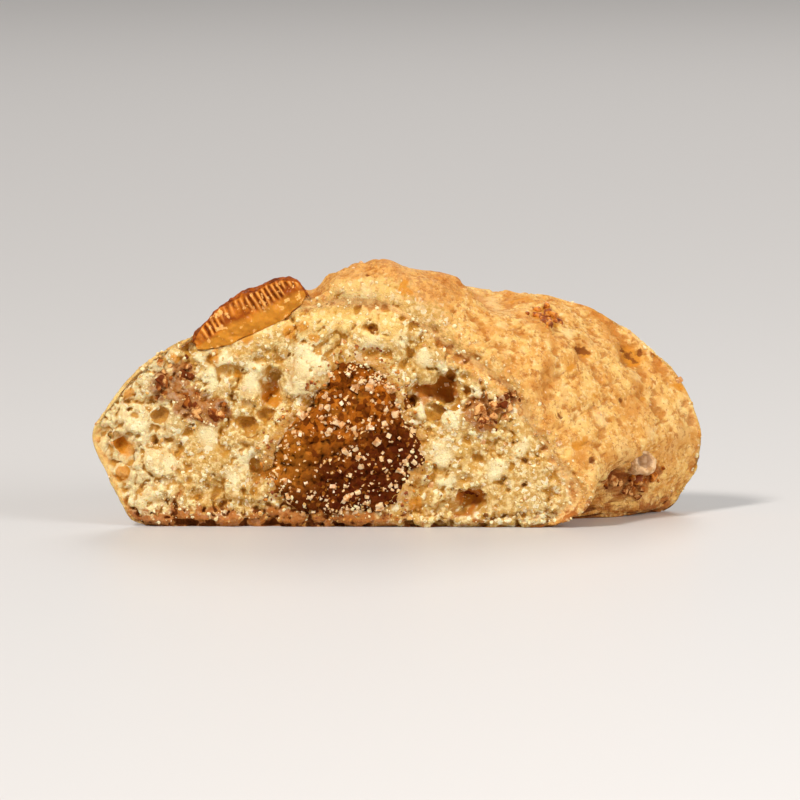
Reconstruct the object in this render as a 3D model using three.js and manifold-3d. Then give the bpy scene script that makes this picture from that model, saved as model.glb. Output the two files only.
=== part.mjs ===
// One biscotto: a slice cut on the slant from a baked, domed log and left standing on its flat base.
// Millimetres, +Z up. The front cut faces -Y, the crusted right-hand wall runs back to the right,
// and the origin is the middle of the bounding box, at the level of the base.
// Solids: the dough body, the chunk of candied orange that runs through it from cut to cut,
// and the slab of candied peel that is baked into its upper left slope.

import * as THREE from 'three';
import { mergeVertices } from 'three/addons/utils/BufferGeometryUtils.js';
import Module from 'manifold-3d';

const wasm = await Module();
wasm.setup();

// ---- Driving dimensions ----------------------------------------------------------------------

const THICKNESS = 12.6; // from the plane of the front cut to the plane of the back cut
const RISE = 0.14; // share by which the crust swells up between the cuts
const SPREAD = 0.05; // share by which it swells sideways
const SWELL_BIAS = 0.45; // below 1, the crust swells most near the front cut
const SWELL_START = 0.22; // share of the width on the left that stays unswollen
const BASE_BAND = 2.2; // height over which relief fades out towards the flat base
const FIT_GAP = 0.3; // air between the dough and each piece of fruit
const RIM = { band: 1.7, setBack: 0.7, width: 33, height: 17 }; // rounding of the rim of each cut
const GRID = { across: 52, through: 13, up: 21 }; // cells of the dough body

// The fold behind the lip of the front cut, where the right-hand wall steps back before it runs on.
const FOLD = {
  depth: 3.8,
  full: 0.3, // share of the thickness at which it is deepest
  leaves: 0.42, // where it starts to run out
  gone: 0.7,
  start: 0.6, // share of the width at which it begins
  low: 1.5, // height up to which it is deepest
  high: 6, // and above which it is gone
};

// Outlines of the two cut faces as [x, z], each in four sides; the base is the straight fourth.
// The left and right sides run upwards and the top runs from left to right.
const FRONT_CUT = {
  left: [[-20.4, 0], [-21.6, 1.7], [-22.6, 4.2], [-23.8, 7.2], [-22.5, 9.6], [-20.5, 11.9]],
  top: [[-20.5, 11.9], [-17.5, 14.4], [-10.6, 16.7], [-5.2, 17.9], [0.2, 17.5], [5.0, 14.2], [9.4, 11.0]],
  right: [[12.0, 0], [14.2, 1.2], [14.9, 3.0], [13.6, 4.9], [11.7, 7.3], [9.4, 11.0]],
};
const BACK_CUT = {
  left: [[-9.8, 0], [-11.5, 3.6], [-13.1, 7.4], [-12.2, 10.6], [-9.6, 12.9]],
  top: [[-9.6, 12.9], [-5.2, 15.0], [1.2, 16.7], [7.6, 17.5], [12.6, 17.1], [16.9, 15.7], [20.0, 13.3]],
  right: [[22.1, 0], [23.3, 1.9], [24.2, 3.9], [24.6, 6.3], [23.8, 9.0], [22.4, 11.3], [20.0, 13.3]],
};

// Outline of the candied chunk on the front cut, anticlockwise from its foot on the right.
const CHUNK = {
  right: [[-0.6, 1.2], [1.6, 3.4], [2.3, 5.8], [1.3, 8.6], [0.1, 11.2]],
  top: [[-4.8, 12.0], [-3.8, 12.9], [-2.4, 13.3], [-0.9, 12.8], [0.1, 11.2]],
  left: [[-7.0, 1.2], [-9.4, 3.3], [-9.9, 5.6], [-8.4, 8.2], [-6.3, 9.9], [-4.8, 12.0]],
  acrossCells: 13,
  upCells: 14,
  throughCells: 4,
  backShift: [9.2, 1.6], // where the chunk has moved to at the back cut
  backScale: 0.78, // and how large it is there
  proud: 0.15, // how far it stands out of each cut
  grain: 0.22, // height of the sugary lumps on its cut faces
  grainFineness: 1.9, // how much finer they are than the lumps of the dough
  crown: 0.35, // bulge of each cut face
  crownRadius: 7,
};

// The peel: a lens between two ends on the upper left slope, seen along +Y.
const PEEL = {
  lowEnd: [-15.6, 14.5],
  highEnd: [-6.75, 18.55],
  crown: 1.85, // bulge of the rind above the line between the ends
  keel: 0.85, // depth of the flesh below it
  keelEnd: 12, // above 1, the flesh thins only near the high end
  keelLoss: 0.9, // share of it that is gone there
  blunt: 4, // above 2, the rind stays thick up to the high end
  edge: 0.3, // half thickness left at the ends
  front: -6.45,
  back: -1.4,
  lean: -0.3, // how far it shifts to the right on its way back
  sink: 2.7, // how far its back end dips into the crust
  dip: 1.6, // above 1, most of the dip is near the back end
  taper: 0.5, // share of the crown that is gone at the back end
  ridges: 10,
  ridgeHeight: 0.09,
  faceRounding: 0.35, // how far the rims of its cut face turn back
  lengthCells: 40,
  throughCells: 4,
  heightCells: 3,
};

// Hollows and swellings in the front cut: [x, z, half width, half height, depth into the dough].
const FRONT_HOLLOWS = [
  [3.5, 11.0, 2.6, 1.15, 1.9], // long air pocket right of the chunk
  [5.8, 2.1, 1.4, 1.1, 1.4], // burst pocket near the base
  [-9.6, 10.7, 1.1, 2.1, 1.5], // upright pocket left of the chunk
  [-10.9, 4.6, 0.9, 1.9, 0.9], // crevice along the chunk's left side
  [-21.7, 6.5, 1.2, 0.8, 0.7], // pit at the left edge
  [-2.0, 15.9, 0.8, 0.6, 0.6], // pin hole under the top
  [-6.3, 12.5, 1.7, 2.3, -0.7], // pale lump that stands out
  [-13.2, 13.2, 2.2, 1.2, -0.4], // ledge of crumb under the peel
];

// Open pores of the crumb, scattered over each cut.
const FRONT_PORES = { seed: 19, count: 26, xRange: [-21, 8], widths: [0.8, 1.4], depths: [0.3, 0.6] };
const BACK_PORES = { seed: 7, count: 30, xRange: [-11, 22], widths: [0.8, 2.2], depths: [0.4, 1.2] };

// Dents in the crust, and swellings with a negative depth: [x, y, z, radius, depth].
const CRUST_DENTS = [
  [-6.5, -4.8, 19.2, 2.2, 1.7], // notch right of the peel
  [-6.5, -1.6, 18.9, 2.4, 1.2],
  [-2.0, -3.2, 19.6, 2.9, -0.9], // peak of the crest
  [8.3, 0.9, 18.6, 4.4, 1.8], // saddle between the two humps of the crest
  [18.6, 4.4, 12.7, 1.8, 0.6], // crack high on the wall
  [14.9, -0.4, 13.3, 1.1, 0.5],
  [20.9, 2.4, 8.5, 0.9, 0.5],
  [14.7, -5.3, 6.3, 1.1, 0.5],
  [17.6, -1.2, 3.9, 1.5, 0.7], // hollow in the wall beside the lip of the front cut
];

// Small bits fused to the dough: [x, y, z, radius].
const NUT_BITS = [
  [-18.0, -6.1, 11.2, 0.95],
  [-16.1, -6.0, 9.9, 1.05],
  [-14.2, -6.1, 9.2, 0.9],
  [-16.6, -6.1, 12.1, 0.75],
  [5.2, -6.0, 9.3, 1.0],
  [7.0, -6.1, 9.8, 0.9],
  [8.3, -6.0, 8.8, 0.75],
];
const CRUST_BITS = [
  [19.6, 0.3, 4.55, 1.05], // sugar pearl on the right-hand wall
  [17.8, -0.2, 3.0, 0.8],
  [18.9, 0.9, 2.5, 0.85],
  [19.7, 1.1, 3.2, 0.7],
  [12.2, 1.3, 16.5, 1.0], // amber bit on the crest
];
const SCATTER = { backBits: 9, crustBits: 5, smallest: 0.5, largest: 0.9, sunk: 0.3, seed: 41 };

const FINISH = {
  dough: { color: 0xe2b26b, roughness: 0.85, metalness: 0 },
  chunk: { color: 0x8e5126, roughness: 0.4, metalness: 0 },
  peel: { color: 0xc0742a, roughness: 0.3, metalness: 0 },
};

// ---- Shared helpers --------------------------------------------------------------------------

const clamp01 = (value) => Math.min(1, Math.max(0, value));
const mix = (from, to, share) => from + (to - from) * share;

function smooth(value) {
  const t = clamp01(value);
  return t * t * (3 - 2 * t);
}

// Mulberry32: the same draws on every run.
function seededRandom(seed) {
  let state = seed;
  return () => {
    state = (state + 0x6d2b79f5) | 0;
    let t = Math.imul(state ^ (state >>> 15), 1 | state);
    t = (t + Math.imul(t ^ (t >>> 7), 61 | t)) ^ t;
    return ((t ^ (t >>> 14)) >>> 0) / 4294967296;
  };
}

// A unit box of cells whose shared corners are merged; place(a, b, c) moves each corner,
// with a, b and c from 0 to 1 across, through and up.
function shapedBox(across, through, up, place) {
  const box = new THREE.BoxGeometry(1, 1, 1, across, through, up);
  box.deleteAttribute('normal');
  box.deleteAttribute('uv');
  const merged = mergeVertices(box, 1e-5);
  const position = merged.getAttribute('position');
  for (let i = 0; i < position.count; i += 1) {
    const a = position.getX(i) + 0.5;
    const b = position.getY(i) + 0.5;
    const c = position.getZ(i) + 0.5;
    position.setXYZ(i, ...place(a, b, c));
  }
  return merged;
}

function solidOf(geometry) {
  const bare = geometry.clone();
  bare.deleteAttribute('normal');
  bare.deleteAttribute('uv');
  const merged = mergeVertices(bare, 1e-5);
  const vertProperties = new Float32Array(merged.getAttribute('position').array);
  const triVerts = new Uint32Array(merged.getIndex().array);
  return new wasm.Manifold(new wasm.Mesh({ numProp: 3, vertProperties, triVerts }));
}

function geometryOf(solid) {
  const mesh = solid.getMesh();
  const geometry = new THREE.BufferGeometry();
  geometry.setAttribute('position', new THREE.BufferAttribute(new Float32Array(mesh.vertProperties), 3));
  geometry.setIndex(new THREE.BufferAttribute(new Uint32Array(mesh.triVerts), 1));
  geometry.computeVertexNormals();
  return geometry;
}

// ---- Outlines --------------------------------------------------------------------------------

const sideCurve = (points) => new THREE.SplineCurve(points.map(([x, z]) => new THREE.Vector2(x, z)));

// Fills a four-sided outline: each side is a spline, and a point inside is blended from the
// two pairs of opposite sides less the blend of the four corners (a Coons patch).
function outlinePatch({ left, top, right }) {
  const sides = { left: sideCurve(left), top: sideCurve(top), right: sideCurve(right) };
  const [lowLeft, lowRight] = [left[0], right[0]];
  const [highLeft, highRight] = [top[0], top[top.length - 1]];
  return (a, c) => {
    const l = sides.left.getPointAt(c);
    const r = sides.right.getPointAt(c);
    const t = sides.top.getPointAt(a);
    const blend = (bottomValue, topValue, leftValue, rightValue, k) =>
      mix(bottomValue, topValue, c) + mix(leftValue, rightValue, a) -
      mix(mix(lowLeft[k], lowRight[k], a), mix(highLeft[k], highRight[k], a), c);
    return [
      blend(mix(lowLeft[0], lowRight[0], a), t.x, l.x, r.x, 0),
      blend(mix(lowLeft[1], lowRight[1], a), t.y, l.y, r.y, 1),
    ];
  };
}

// ---- Relief ----------------------------------------------------------------------------------

// A fixed random value from -1 to 1 for each corner of the unit lattice.
function latticeValue(i, j, k) {
  const scrambled = Math.sin(12.9898 * i + 78.233 * j + 37.719 * k) * 43758.5453;
  return 2 * (scrambled - Math.floor(scrambled)) - 1;
}

// Smooth noise: the eight corner values of the lattice cell, blended with eased shares.
function noise(x, y, z) {
  const [i, j, k] = [Math.floor(x), Math.floor(y), Math.floor(z)];
  const [u, v, w] = [smooth(x - i), smooth(y - j), smooth(z - k)];
  const edge = (dj, dk) => mix(latticeValue(i, j + dj, k + dk), latticeValue(i + 1, j + dj, k + dk), u);
  return mix(mix(edge(0, 0), edge(1, 0), v), mix(edge(0, 1), edge(1, 1), v), w);
}

// Lumps of the baked dough, about -1 to 1: noise at a slow and a quick wavelength.
const SLOW_LUMP = 3.4;
const QUICK_LUMP = 1.7;
const lumps = (x, y, z) =>
  0.75 * noise(x / SLOW_LUMP, y / SLOW_LUMP, z / SLOW_LUMP) +
  0.5 * noise(x / QUICK_LUMP + 9, y / QUICK_LUMP, z / QUICK_LUMP);

// How far a round-bottomed hollow sinks at a distance given as a share of its size.
const hollowShape = (share) => (share < 1 ? (1 - share * share) ** 1.5 : 0);

// Seeded hollows of the crumb between two x values, in the same form as the named ones.
function seededHollows({ seed, count, xRange, widths, depths }) {
  const random = seededRandom(seed);
  return Array.from({ length: count }, () => {
    const halfWidth = mix(...widths, random());
    const place = [mix(...xRange, random()), mix(1.5, 16, random())];
    return [...place, halfWidth, halfWidth * mix(0.6, 0.9, random()), mix(...depths, random())];
  });
}

const depthOf = ([hx, hz, halfWidth, halfHeight, depth], x, z) =>
  depth * hollowShape(Math.hypot((x - hx) / halfWidth, (z - hz) / halfHeight));
const sumOf = (hollows, x, z) => hollows.reduce((sum, hollow) => sum + depthOf(hollow, x, z), 0);
const deepestOf = (hollows, x, z) => Math.max(...hollows.map((hollow) => depthOf(hollow, x, z)));

const frontPores = seededHollows(FRONT_PORES);
const backPores = seededHollows(BACK_PORES);

function crustDent(x, y, z) {
  return CRUST_DENTS.reduce(
    (sum, [dx, dy, dz, radius, depth]) =>
      sum + depth * hollowShape(Math.hypot(x - dx, y - dy, z - dz) / radius),
    0,
  );
}

// ---- Dough -----------------------------------------------------------------------------------

const frontPatch = outlinePatch(FRONT_CUT);
const backPatch = outlinePatch(BACK_CUT);
const middleOf = ({ left, right }) => (left[0][0] + right[0][0]) / 2;
const frontMiddle = middleOf(FRONT_CUT);
const backMiddle = middleOf(BACK_CUT);

const CRUST_RELIEF = 0.42; // height of the lumps on the crust
const CRUMB_RELIEF = 0.42; // height of the lumps on the cuts
const CUT_FOOT_RELIEF = 0.4; // share of it that is left along the foot of a cut
const HEART = { height: 5, flatten: 1.6 }; // where the crust's lumps point away from, and how steeply
const LOWEST_SKIN = 0.25; // nothing but the base itself comes nearer to the table

function foldDepth(a, b, z) {
  const through = smooth(b / FOLD.full) * (1 - smooth((b - FOLD.leaves) / (FOLD.gone - FOLD.leaves)));
  const across = smooth((a - FOLD.start) / (1 - FOLD.start));
  return FOLD.depth * through * across * (1 - smooth((z - FOLD.low) / (FOLD.high - FOLD.low)));
}

// The slice: the front outline turns into the back one, the crust between them swells most near
// the front, and lumps, dents and hollows push the skin in or out.
function doughPoint(a, b, c) {
  const [frontX, frontZ] = frontPatch(a, c);
  const [backX, backZ] = backPatch(a, c);
  const middle = mix(frontMiddle, backMiddle, b);
  const swell = Math.sin(Math.PI * b ** SWELL_BIAS) * smooth((a - SWELL_START / 2) / SWELL_START);
  let x = middle + (mix(frontX, backX, b) - middle) * (1 + SPREAD * swell);
  let y = (b - 0.5) * THICKNESS;
  let z = mix(frontZ, backZ, b) * (1 + RISE * swell);
  x -= foldDepth(a, b, z);
  const fade = smooth(z / BASE_BAND);
  const relief = lumps(x, y, z);
  if (a === 0 || a === 1 || c === 1) {
    const away = new THREE.Vector2(x - middle, (z - HEART.height) * HEART.flatten).normalize();
    const push = fade * (CRUST_RELIEF * relief - crustDent(x, y, z));
    x += push * away.x;
    z += push * away.y;
  }
  const fromRim = Math.min(a * RIM.width, (1 - a) * RIM.width, (1 - c) * RIM.height);
  const rim = RIM.setBack * (1 - smooth(fromRim / RIM.band));
  if (b === 0) {
    const hollow = sumOf(FRONT_HOLLOWS, x, z) + deepestOf(frontPores, x, z);
    y += rim + CRUMB_RELIEF * relief * mix(CUT_FOOT_RELIEF, 1, fade) + hollow * fade;
  }
  if (b === 1) {
    y -= rim + CRUMB_RELIEF * relief * mix(CUT_FOOT_RELIEF, 1, fade) + deepestOf(backPores, x, z) * fade;
  }
  return [x, y, c === 0 ? 0 : Math.max(z, LOWEST_SKIN)];
}

// An angular bit: a squashed and turned dodecahedron or icosahedron.
function bitSolid([x, y, z, radius], random) {
  const shape = radius > 0.7 ? new THREE.DodecahedronGeometry(radius) : new THREE.IcosahedronGeometry(radius);
  shape.scale(mix(0.8, 1.2, random()), mix(0.8, 1.1, random()), mix(0.7, 1, random()));
  shape.rotateX(random() * Math.PI);
  shape.rotateY(random() * Math.PI);
  shape.rotateZ(random() * Math.PI);
  shape.translate(x, y, z);
  return solidOf(shape);
}

// Seeded places for more bits: on the back cut and on the far slope of the crust.
function scatteredBits(random) {
  const radius = () => mix(SCATTER.smallest, SCATTER.largest, random());
  const onBack = Array.from({ length: SCATTER.backBits }, () => {
    const [x, y, z] = doughPoint(mix(0.1, 0.9, random()), 1, mix(0.15, 0.85, random()));
    return [x, y - SCATTER.sunk, z, radius()];
  });
  const onCrust = Array.from({ length: SCATTER.crustBits }, () => {
    const [x, y, z] = doughPoint(mix(0.08, 0.6, random()), mix(0.5, 0.92, random()), 1);
    return [x, y, z - SCATTER.sunk, radius()];
  });
  return [...onBack, ...onCrust];
}

// ---- Candied chunk ---------------------------------------------------------------------------

const chunkPatch = outlinePatch(CHUNK);
const CHUNK_HEART = [-3.8, 6.6];

// The chunk's section slides along the slant and shrinks towards the back; grow widens it all
// round for the pocket that is cut in the dough, and reach lengthens it past both cuts.
function chunkPoint(a, b, c, grow, reach) {
  const [px, pz] = chunkPatch(a, c);
  const flat = (b - 0.5) * (THICKNESS + 2 * CHUNK.proud + 2 * reach);
  const share = flat / THICKNESS + 0.5;
  const scale = mix(1, CHUNK.backScale, share);
  const out = new THREE.Vector2(px - CHUNK_HEART[0], pz - CHUNK_HEART[1]);
  const widened = grow * Math.min(1, out.length() / 2);
  const unit = out.clone().normalize();
  const x = CHUNK_HEART[0] + scale * out.x + widened * unit.x + CHUNK.backShift[0] * share;
  const z = CHUNK_HEART[1] + scale * out.y + widened * unit.y + CHUNK.backShift[1] * share;
  const [gx, gy, gz] = [x, flat, z].map((value) => value * CHUNK.grainFineness);
  const end = b === 0 || b === 1 ? CHUNK.grain * lumps(gx, gy, gz) : 0;
  const crown = CHUNK.crown * (2 * b - 1) * smooth(1 - out.length() / CHUNK.crownRadius);
  return [x, reach > 0 ? flat : flat + end + crown, z];
}

function chunkGeometry(grow, reach) {
  const { acrossCells, throughCells, upCells } = CHUNK;
  return shapedBox(acrossCells, throughCells, upCells, (a, b, c) => chunkPoint(a, b, c, grow, reach));
}

// ---- Candied peel ----------------------------------------------------------------------------

// A lens: thin ends, a ridged rind bulging above the line between them and flesh below it.
// Towards the back it flattens and dips under the crust.
function peelPoint(a, b, c, grow, frontReach) {
  const [x0, z0] = PEEL.lowEnd;
  const [x1, z1] = PEEL.highEnd;
  const along = new THREE.Vector2(x1 - x0, z1 - z0);
  const unit = along.clone().normalize();
  const lengthShare = mix(-grow / along.length(), 1 + grow / along.length(), a);
  const fromMiddle = Math.abs(2 * a - 1);
  const belly = a < 0.5 ? 1 - fromMiddle ** 2 : Math.sqrt(1 - fromMiddle ** PEEL.blunt);
  const keel = PEEL.edge + PEEL.keel * Math.sqrt(1 - fromMiddle ** 2);
  const ridge = PEEL.ridgeHeight * Math.cos(2 * Math.PI * PEEL.ridges * a) * belly;
  const y = mix(PEEL.front - frontReach, PEEL.back + grow, b);
  const backward = (y - PEEL.front) / (PEEL.back - PEEL.front);
  const dip = Math.max(0, backward) ** PEEL.dip;
  const above = PEEL.edge + PEEL.crown * (1 - PEEL.taper * dip) * belly + (grow > 0 ? grow : ridge * c);
  const below = keel * (1 - PEEL.keelLoss * a ** PEEL.keelEnd) + grow;
  const height = mix(-below, above, c) - PEEL.sink * dip;
  const lean = PEEL.lean * backward;
  const roundOff = grow === 0 && b === 0 ? PEEL.faceRounding * belly * (2 * c - 1) ** 2 : 0;
  return [
    x0 + along.x * lengthShare - unit.y * height + lean,
    y + roundOff,
    z0 + along.y * lengthShare + unit.x * height,
  ];
}

function peelGeometry(grow, frontReach) {
  const { lengthCells, throughCells, heightCells } = PEEL;
  return shapedBox(lengthCells, throughCells, heightCells, (a, b, c) => peelPoint(a, b, c, grow, frontReach));
}

// ---- Assembly --------------------------------------------------------------------------------

const PAST_THE_CUT = 3; // how far the pockets' cutters reach out of the dough

function doughGeometry() {
  const random = seededRandom(SCATTER.seed);
  let dough = solidOf(shapedBox(GRID.across, GRID.through, GRID.up, doughPoint));
  for (const place of [...NUT_BITS, ...CRUST_BITS, ...scatteredBits(random)]) {
    dough = dough.add(bitSolid(place, random));
  }
  dough = dough.subtract(solidOf(chunkGeometry(FIT_GAP, PAST_THE_CUT)));
  return geometryOf(dough.subtract(solidOf(peelGeometry(FIT_GAP, PAST_THE_CUT))));
}

function namedMesh(name, geometry, finish) {
  const mesh = new THREE.Mesh(geometry, new THREE.MeshStandardMaterial(finish));
  mesh.name = name;
  return mesh;
}

// Moves everything so that the origin is under the middle of the bounding box.
function centred(group) {
  const box = new THREE.Box3().setFromObject(group);
  const middle = box.getCenter(new THREE.Vector3());
  group.children.forEach((mesh) => mesh.geometry.translate(-middle.x, -middle.y, 0));
  return group;
}

const biscotto = new THREE.Group();
biscotto.add(namedMesh('dough', doughGeometry(), FINISH.dough));
biscotto.add(namedMesh('candied_chunk', chunkGeometry(0, 0), FINISH.chunk));
biscotto.add(namedMesh('candied_peel', peelGeometry(0, 0), FINISH.peel));

export default centred(biscotto);
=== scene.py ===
"""A biscotto standing on its flat base: one slanted slice of a baked log.

The dough is one closed surface: a box of cells whose six sides are laid over the front cut, the back
cut, the crust and the base, then given its lumps, bubbles, pores and cracks. The chunk of candied
orange, the slab of candied peel, the bits of nut and fruit, the sugar and the crumbs are pieces of
their own. Lengths are millimetres until a mesh is made; the scene itself is in metres.
"""
import math

import bpy
import numpy as np
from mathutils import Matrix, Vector


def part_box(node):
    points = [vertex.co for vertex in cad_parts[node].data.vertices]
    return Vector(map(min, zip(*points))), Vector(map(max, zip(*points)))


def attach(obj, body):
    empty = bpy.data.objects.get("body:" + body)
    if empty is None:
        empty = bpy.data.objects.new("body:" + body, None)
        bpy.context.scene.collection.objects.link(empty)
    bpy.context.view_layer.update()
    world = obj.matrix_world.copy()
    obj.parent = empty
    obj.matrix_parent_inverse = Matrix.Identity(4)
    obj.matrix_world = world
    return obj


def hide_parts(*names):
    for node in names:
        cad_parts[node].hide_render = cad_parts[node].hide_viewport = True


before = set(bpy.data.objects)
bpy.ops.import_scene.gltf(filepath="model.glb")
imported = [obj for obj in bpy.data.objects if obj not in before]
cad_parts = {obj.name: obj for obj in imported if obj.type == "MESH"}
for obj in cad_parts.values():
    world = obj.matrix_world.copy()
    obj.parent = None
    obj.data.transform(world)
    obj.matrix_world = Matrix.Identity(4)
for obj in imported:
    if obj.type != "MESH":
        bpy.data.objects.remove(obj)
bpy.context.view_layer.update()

# ---- Sizes of the slice, in millimetres ----

MM = 0.001
THICKNESS = 12.6  # from the plane of the front cut to the plane of the back cut
RISE = 0.14  # share by which the crust swells up between the cuts
SPREAD = 0.05  # share by which it swells sideways
SWELL_BIAS = 0.45  # below 1, the crust swells most near the front cut
SWELL_START = 0.22  # share of the width on the left that stays unswollen
BASE_BAND = 2.2  # height over which relief fades out towards the flat base
CRUST_RELIEF = 0.42  # height of the slow lumps on the crust
CRUMB_RELIEF = 0.42  # height of the slow lumps on the cuts
CUT_FOOT_RELIEF = 0.4  # share of it that is left along the foot of a cut
HEART = (5.0, 1.6)  # height that the crust's lumps point away from, and how steeply
LOWEST_SKIN = 0.25  # nothing but the base itself comes nearer to the table
FOOT_STEEPNESS = 12
WELL_DEPTH = 2.4  # how far the dough draws back behind the chunk's ends
PEEL_BED = 1.2  # and behind the peel's face
UNDERCUT = {"depth": 0.75, "height": 0.55, "reach": 2.2}
RIM = {"band": 1.7, "set_back": 0.7, "width": 33, "height": 17}

# Cells of each piece across, through and up, and of the frame's own coarse chunk.
DOUGH_CELLS, CHUNK_CELLS, PEEL_CELLS = (260, 48, 120), (120, 20, 120), (180, 40, 40)
SOLID_CHUNK_CELLS = (13, 4, 14)

# The fold behind the lip of the front cut: its depth, where through the thickness it is full, leaves
# off and is gone, where across it starts, and the heights between which it fades.
FOLD = {"depth": 3.8, "full": 0.3, "leaves": 0.42, "gone": 0.7, "start": 0.6, "low": 1.5, "high": 6}

# Outlines of the cuts as x, z. The left and right sides run upwards and the top from left to right.
FRONT_CUT = {
    "left": [(-20.4, 0), (-21.6, 1.7), (-22.6, 4.2), (-23.8, 7.2), (-22.5, 9.6), (-20.5, 11.9)],
    "top": [(-20.5, 11.9), (-17.5, 14.4), (-10.6, 16.7), (-5.2, 17.9), (0.2, 17.5), (5.0, 14.2),
            (9.4, 11.0)],
    "right": [(12.0, 0), (14.2, 1.2), (14.9, 3.0), (13.6, 4.9), (11.7, 7.3), (9.4, 11.0)],
}
BACK_CUT = {
    "left": [(-9.8, 0), (-11.5, 3.6), (-13.1, 7.4), (-12.2, 10.6), (-9.6, 12.9)],
    "top": [(-9.6, 12.9), (-5.2, 15.0), (1.2, 16.7), (7.6, 17.5), (12.6, 17.1), (16.9, 15.7),
            (20.0, 13.3)],
    "right": [(22.1, 0), (23.3, 1.9), (24.2, 3.9), (24.6, 6.3), (23.8, 9.0), (22.4, 11.3),
              (20.0, 13.3)],
}

CHUNK_OUTLINE = {
    "right": [(-0.6, 1.2), (1.6, 3.4), (2.3, 5.8), (1.3, 8.6), (0.1, 11.2)],
    "top": [(-4.8, 12.0), (-3.8, 12.9), (-2.4, 13.3), (-0.9, 12.8), (0.1, 11.2)],
    "left": [(-7.0, 1.2), (-9.4, 3.3), (-9.9, 5.6), (-8.4, 8.2), (-6.3, 9.9), (-4.8, 12.0)],
}
CHUNK_HEART = np.array((-3.8, 6.6))
CHUNK_BACK_SHIFT = np.array((9.2, 1.6))  # where the chunk has moved to at the back cut
CHUNK_BACK_SCALE = 0.78  # and how large it is there
CHUNK_PROUD = 0.15  # how far it stands out of each cut
CHUNK_GRAIN = 0.22  # height of the slow lumps on its cut faces
CHUNK_GRAIN_FINENESS = 1.9
CHUNK_CROWN = (0.35, 7.0)  # bulge of each cut face, and how far out from the heart it runs

PEEL_ENDS = np.array(((-15.6, 14.5), (-6.75, 18.55)))
PEEL_CROWN = 1.85  # bulge of the rind above the line between the ends
PEEL_KEEL = 0.85  # depth of the flesh below it
PEEL_KEEL_END = 12  # above 1, the flesh thins only near the high end
PEEL_KEEL_LOSS = 0.9  # share of it that is gone there
PEEL_BLUNT = 4  # above 2, the rind stays thick up to the high end
PEEL_EDGE = 0.3  # half thickness left at the ends
PEEL_DEPTH = (-6.45, -1.4)  # y of its face and of its back end
PEEL_LEAN = -0.3  # how far it shifts to the right on its way back
PEEL_SINK = 2.7  # how far its back end dips into the crust
PEEL_TAPER = 0.5  # share of the crown that is gone there
PEEL_DIP = 1.6  # above 1, most of the dip is near the back end
PEEL_FACE_ROUNDING = 0.35  # how far the rims of its face turn back
PEEL_RIBS = 21

# Hollows and swellings of the front cut: x, z, half width, half height, depth into the dough.
FRONT_HOLLOWS = [
    (2.9, 10.8, 2.9, 0.95, 1.6),
    (4.6, 11.2, 1.7, 1.0, 1.2),
    (5.9, 1.9, 1.4, 1.3, 1.9),
    (-9.6, 10.7, 1.1, 2.1, 1.5),
    (-10.9, 4.6, 0.9, 1.9, 0.9),
    (-21.7, 6.5, 1.2, 0.8, 0.7),
    (-2.0, 15.9, 0.8, 0.6, 0.6),
    (-6.3, 12.5, 1.7, 2.3, -0.7),
    (-13.2, 13.2, 2.2, 1.2, -0.4),
]
FRONT_PORES = {"seed": 19, "count": 26, "x_range": (-21, 8), "widths": (0.8, 1.4), "depths": (0.3, 0.6)}
BACK_PORES = {"seed": 7, "count": 30, "x_range": (-11, 22), "widths": (0.8, 2.2), "depths": (0.4, 1.2)}

# Dents in the crust, and swellings with a negative depth: x, y, z, radius, depth.
CRUST_DENTS = [
    (-6.5, -4.8, 19.2, 2.2, 1.7),
    (-6.5, -1.6, 18.9, 2.4, 1.2),
    (-2.0, -3.2, 19.6, 2.9, -0.9),
    (8.3, 0.9, 18.6, 4.4, 1.8),
    (18.6, 4.4, 12.7, 1.8, 0.6),
    (14.9, -0.4, 13.3, 1.1, 0.5),
    (20.9, 2.4, 8.5, 0.9, 0.5),
    (14.7, -5.3, 6.3, 1.1, 0.5),
    (17.6, -1.2, 3.9, 1.5, 0.7),
]

POCKET_RAGGEDNESS = 0.55  # how far the rims of the front cut's hollows wander

# Pits, most of them in the crust: x, y, z, radius. The brown round them is partly the crust's own browning
# and partly painted shade in the pits and round the bits.
CRUST_PITS = [
    (18.0, 4.7, 13.0, 0.45), (18.6, 4.8, 12.6, 0.5), (19.1, 4.7, 12.1, 0.45), (19.4, 5.4, 12.8, 0.4),
    (14.6, 0.0, 13.4, 0.5), (15.2, 0.4, 13.4, 0.45), (20.9, 3.1, 8.4, 0.42), (23.4, 5.4, 7.3, 0.4),
    (19.1, -0.3, 4.9, 0.4), (17.8, -0.9, 7.9, 0.38), (17.9, 0.2, 9.4, 0.35), (12.7, -2.8, 13.4, 0.34),
    (11.6, -4.7, 11.8, 0.4), (14.3, -2.1, 11.6, 0.25), (9.6, 1.0, 16.7, 0.35), (14.5, 2.2, 15.0, 0.38),
    (13.2, -5.1, 8.9, 0.35), (6.8, -5.3, 13.9, 0.42), (3.5, -5.5, 15.9, 0.38), (4.6, -5.5, 14.5, 0.3),
    (0.3, -4.9, 20.1, 0.3), (-1.9, -5.3, 19.9, 0.35), (5.9, -3.6, 17.3, 0.3), (15.8, -4.9, 5.3, 0.35),
    (11.2, -0.3, 16.0, 0.4), (12.9, 0.9, 15.9, 0.4), (13.3, 1.6, 16.1, 0.35),
    (17.3, -0.6, 3.8, 0.7), (18.2, 0.2, 3.3, 0.5), (19.2, 0.8, 2.3, 0.45), (18.5, -1.0, 4.8, 0.35),
    (20.3, 1.3, 3.4, 0.4), (16.6, -1.9, 2.6, 0.5),
    (5.0, -5.1, 2.5, 0.3), (5.5, -5.6, 2.9, 0.32), (6.2, -5.5, 2.7, 0.3), (6.7, -6.0, 2.2, 0.32),
    (7.1, -6.2, 1.5, 0.35), (7.3, -6.2, 0.9, 0.3), (-1.7, -6.0, 15.8, 0.4),
]
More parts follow.
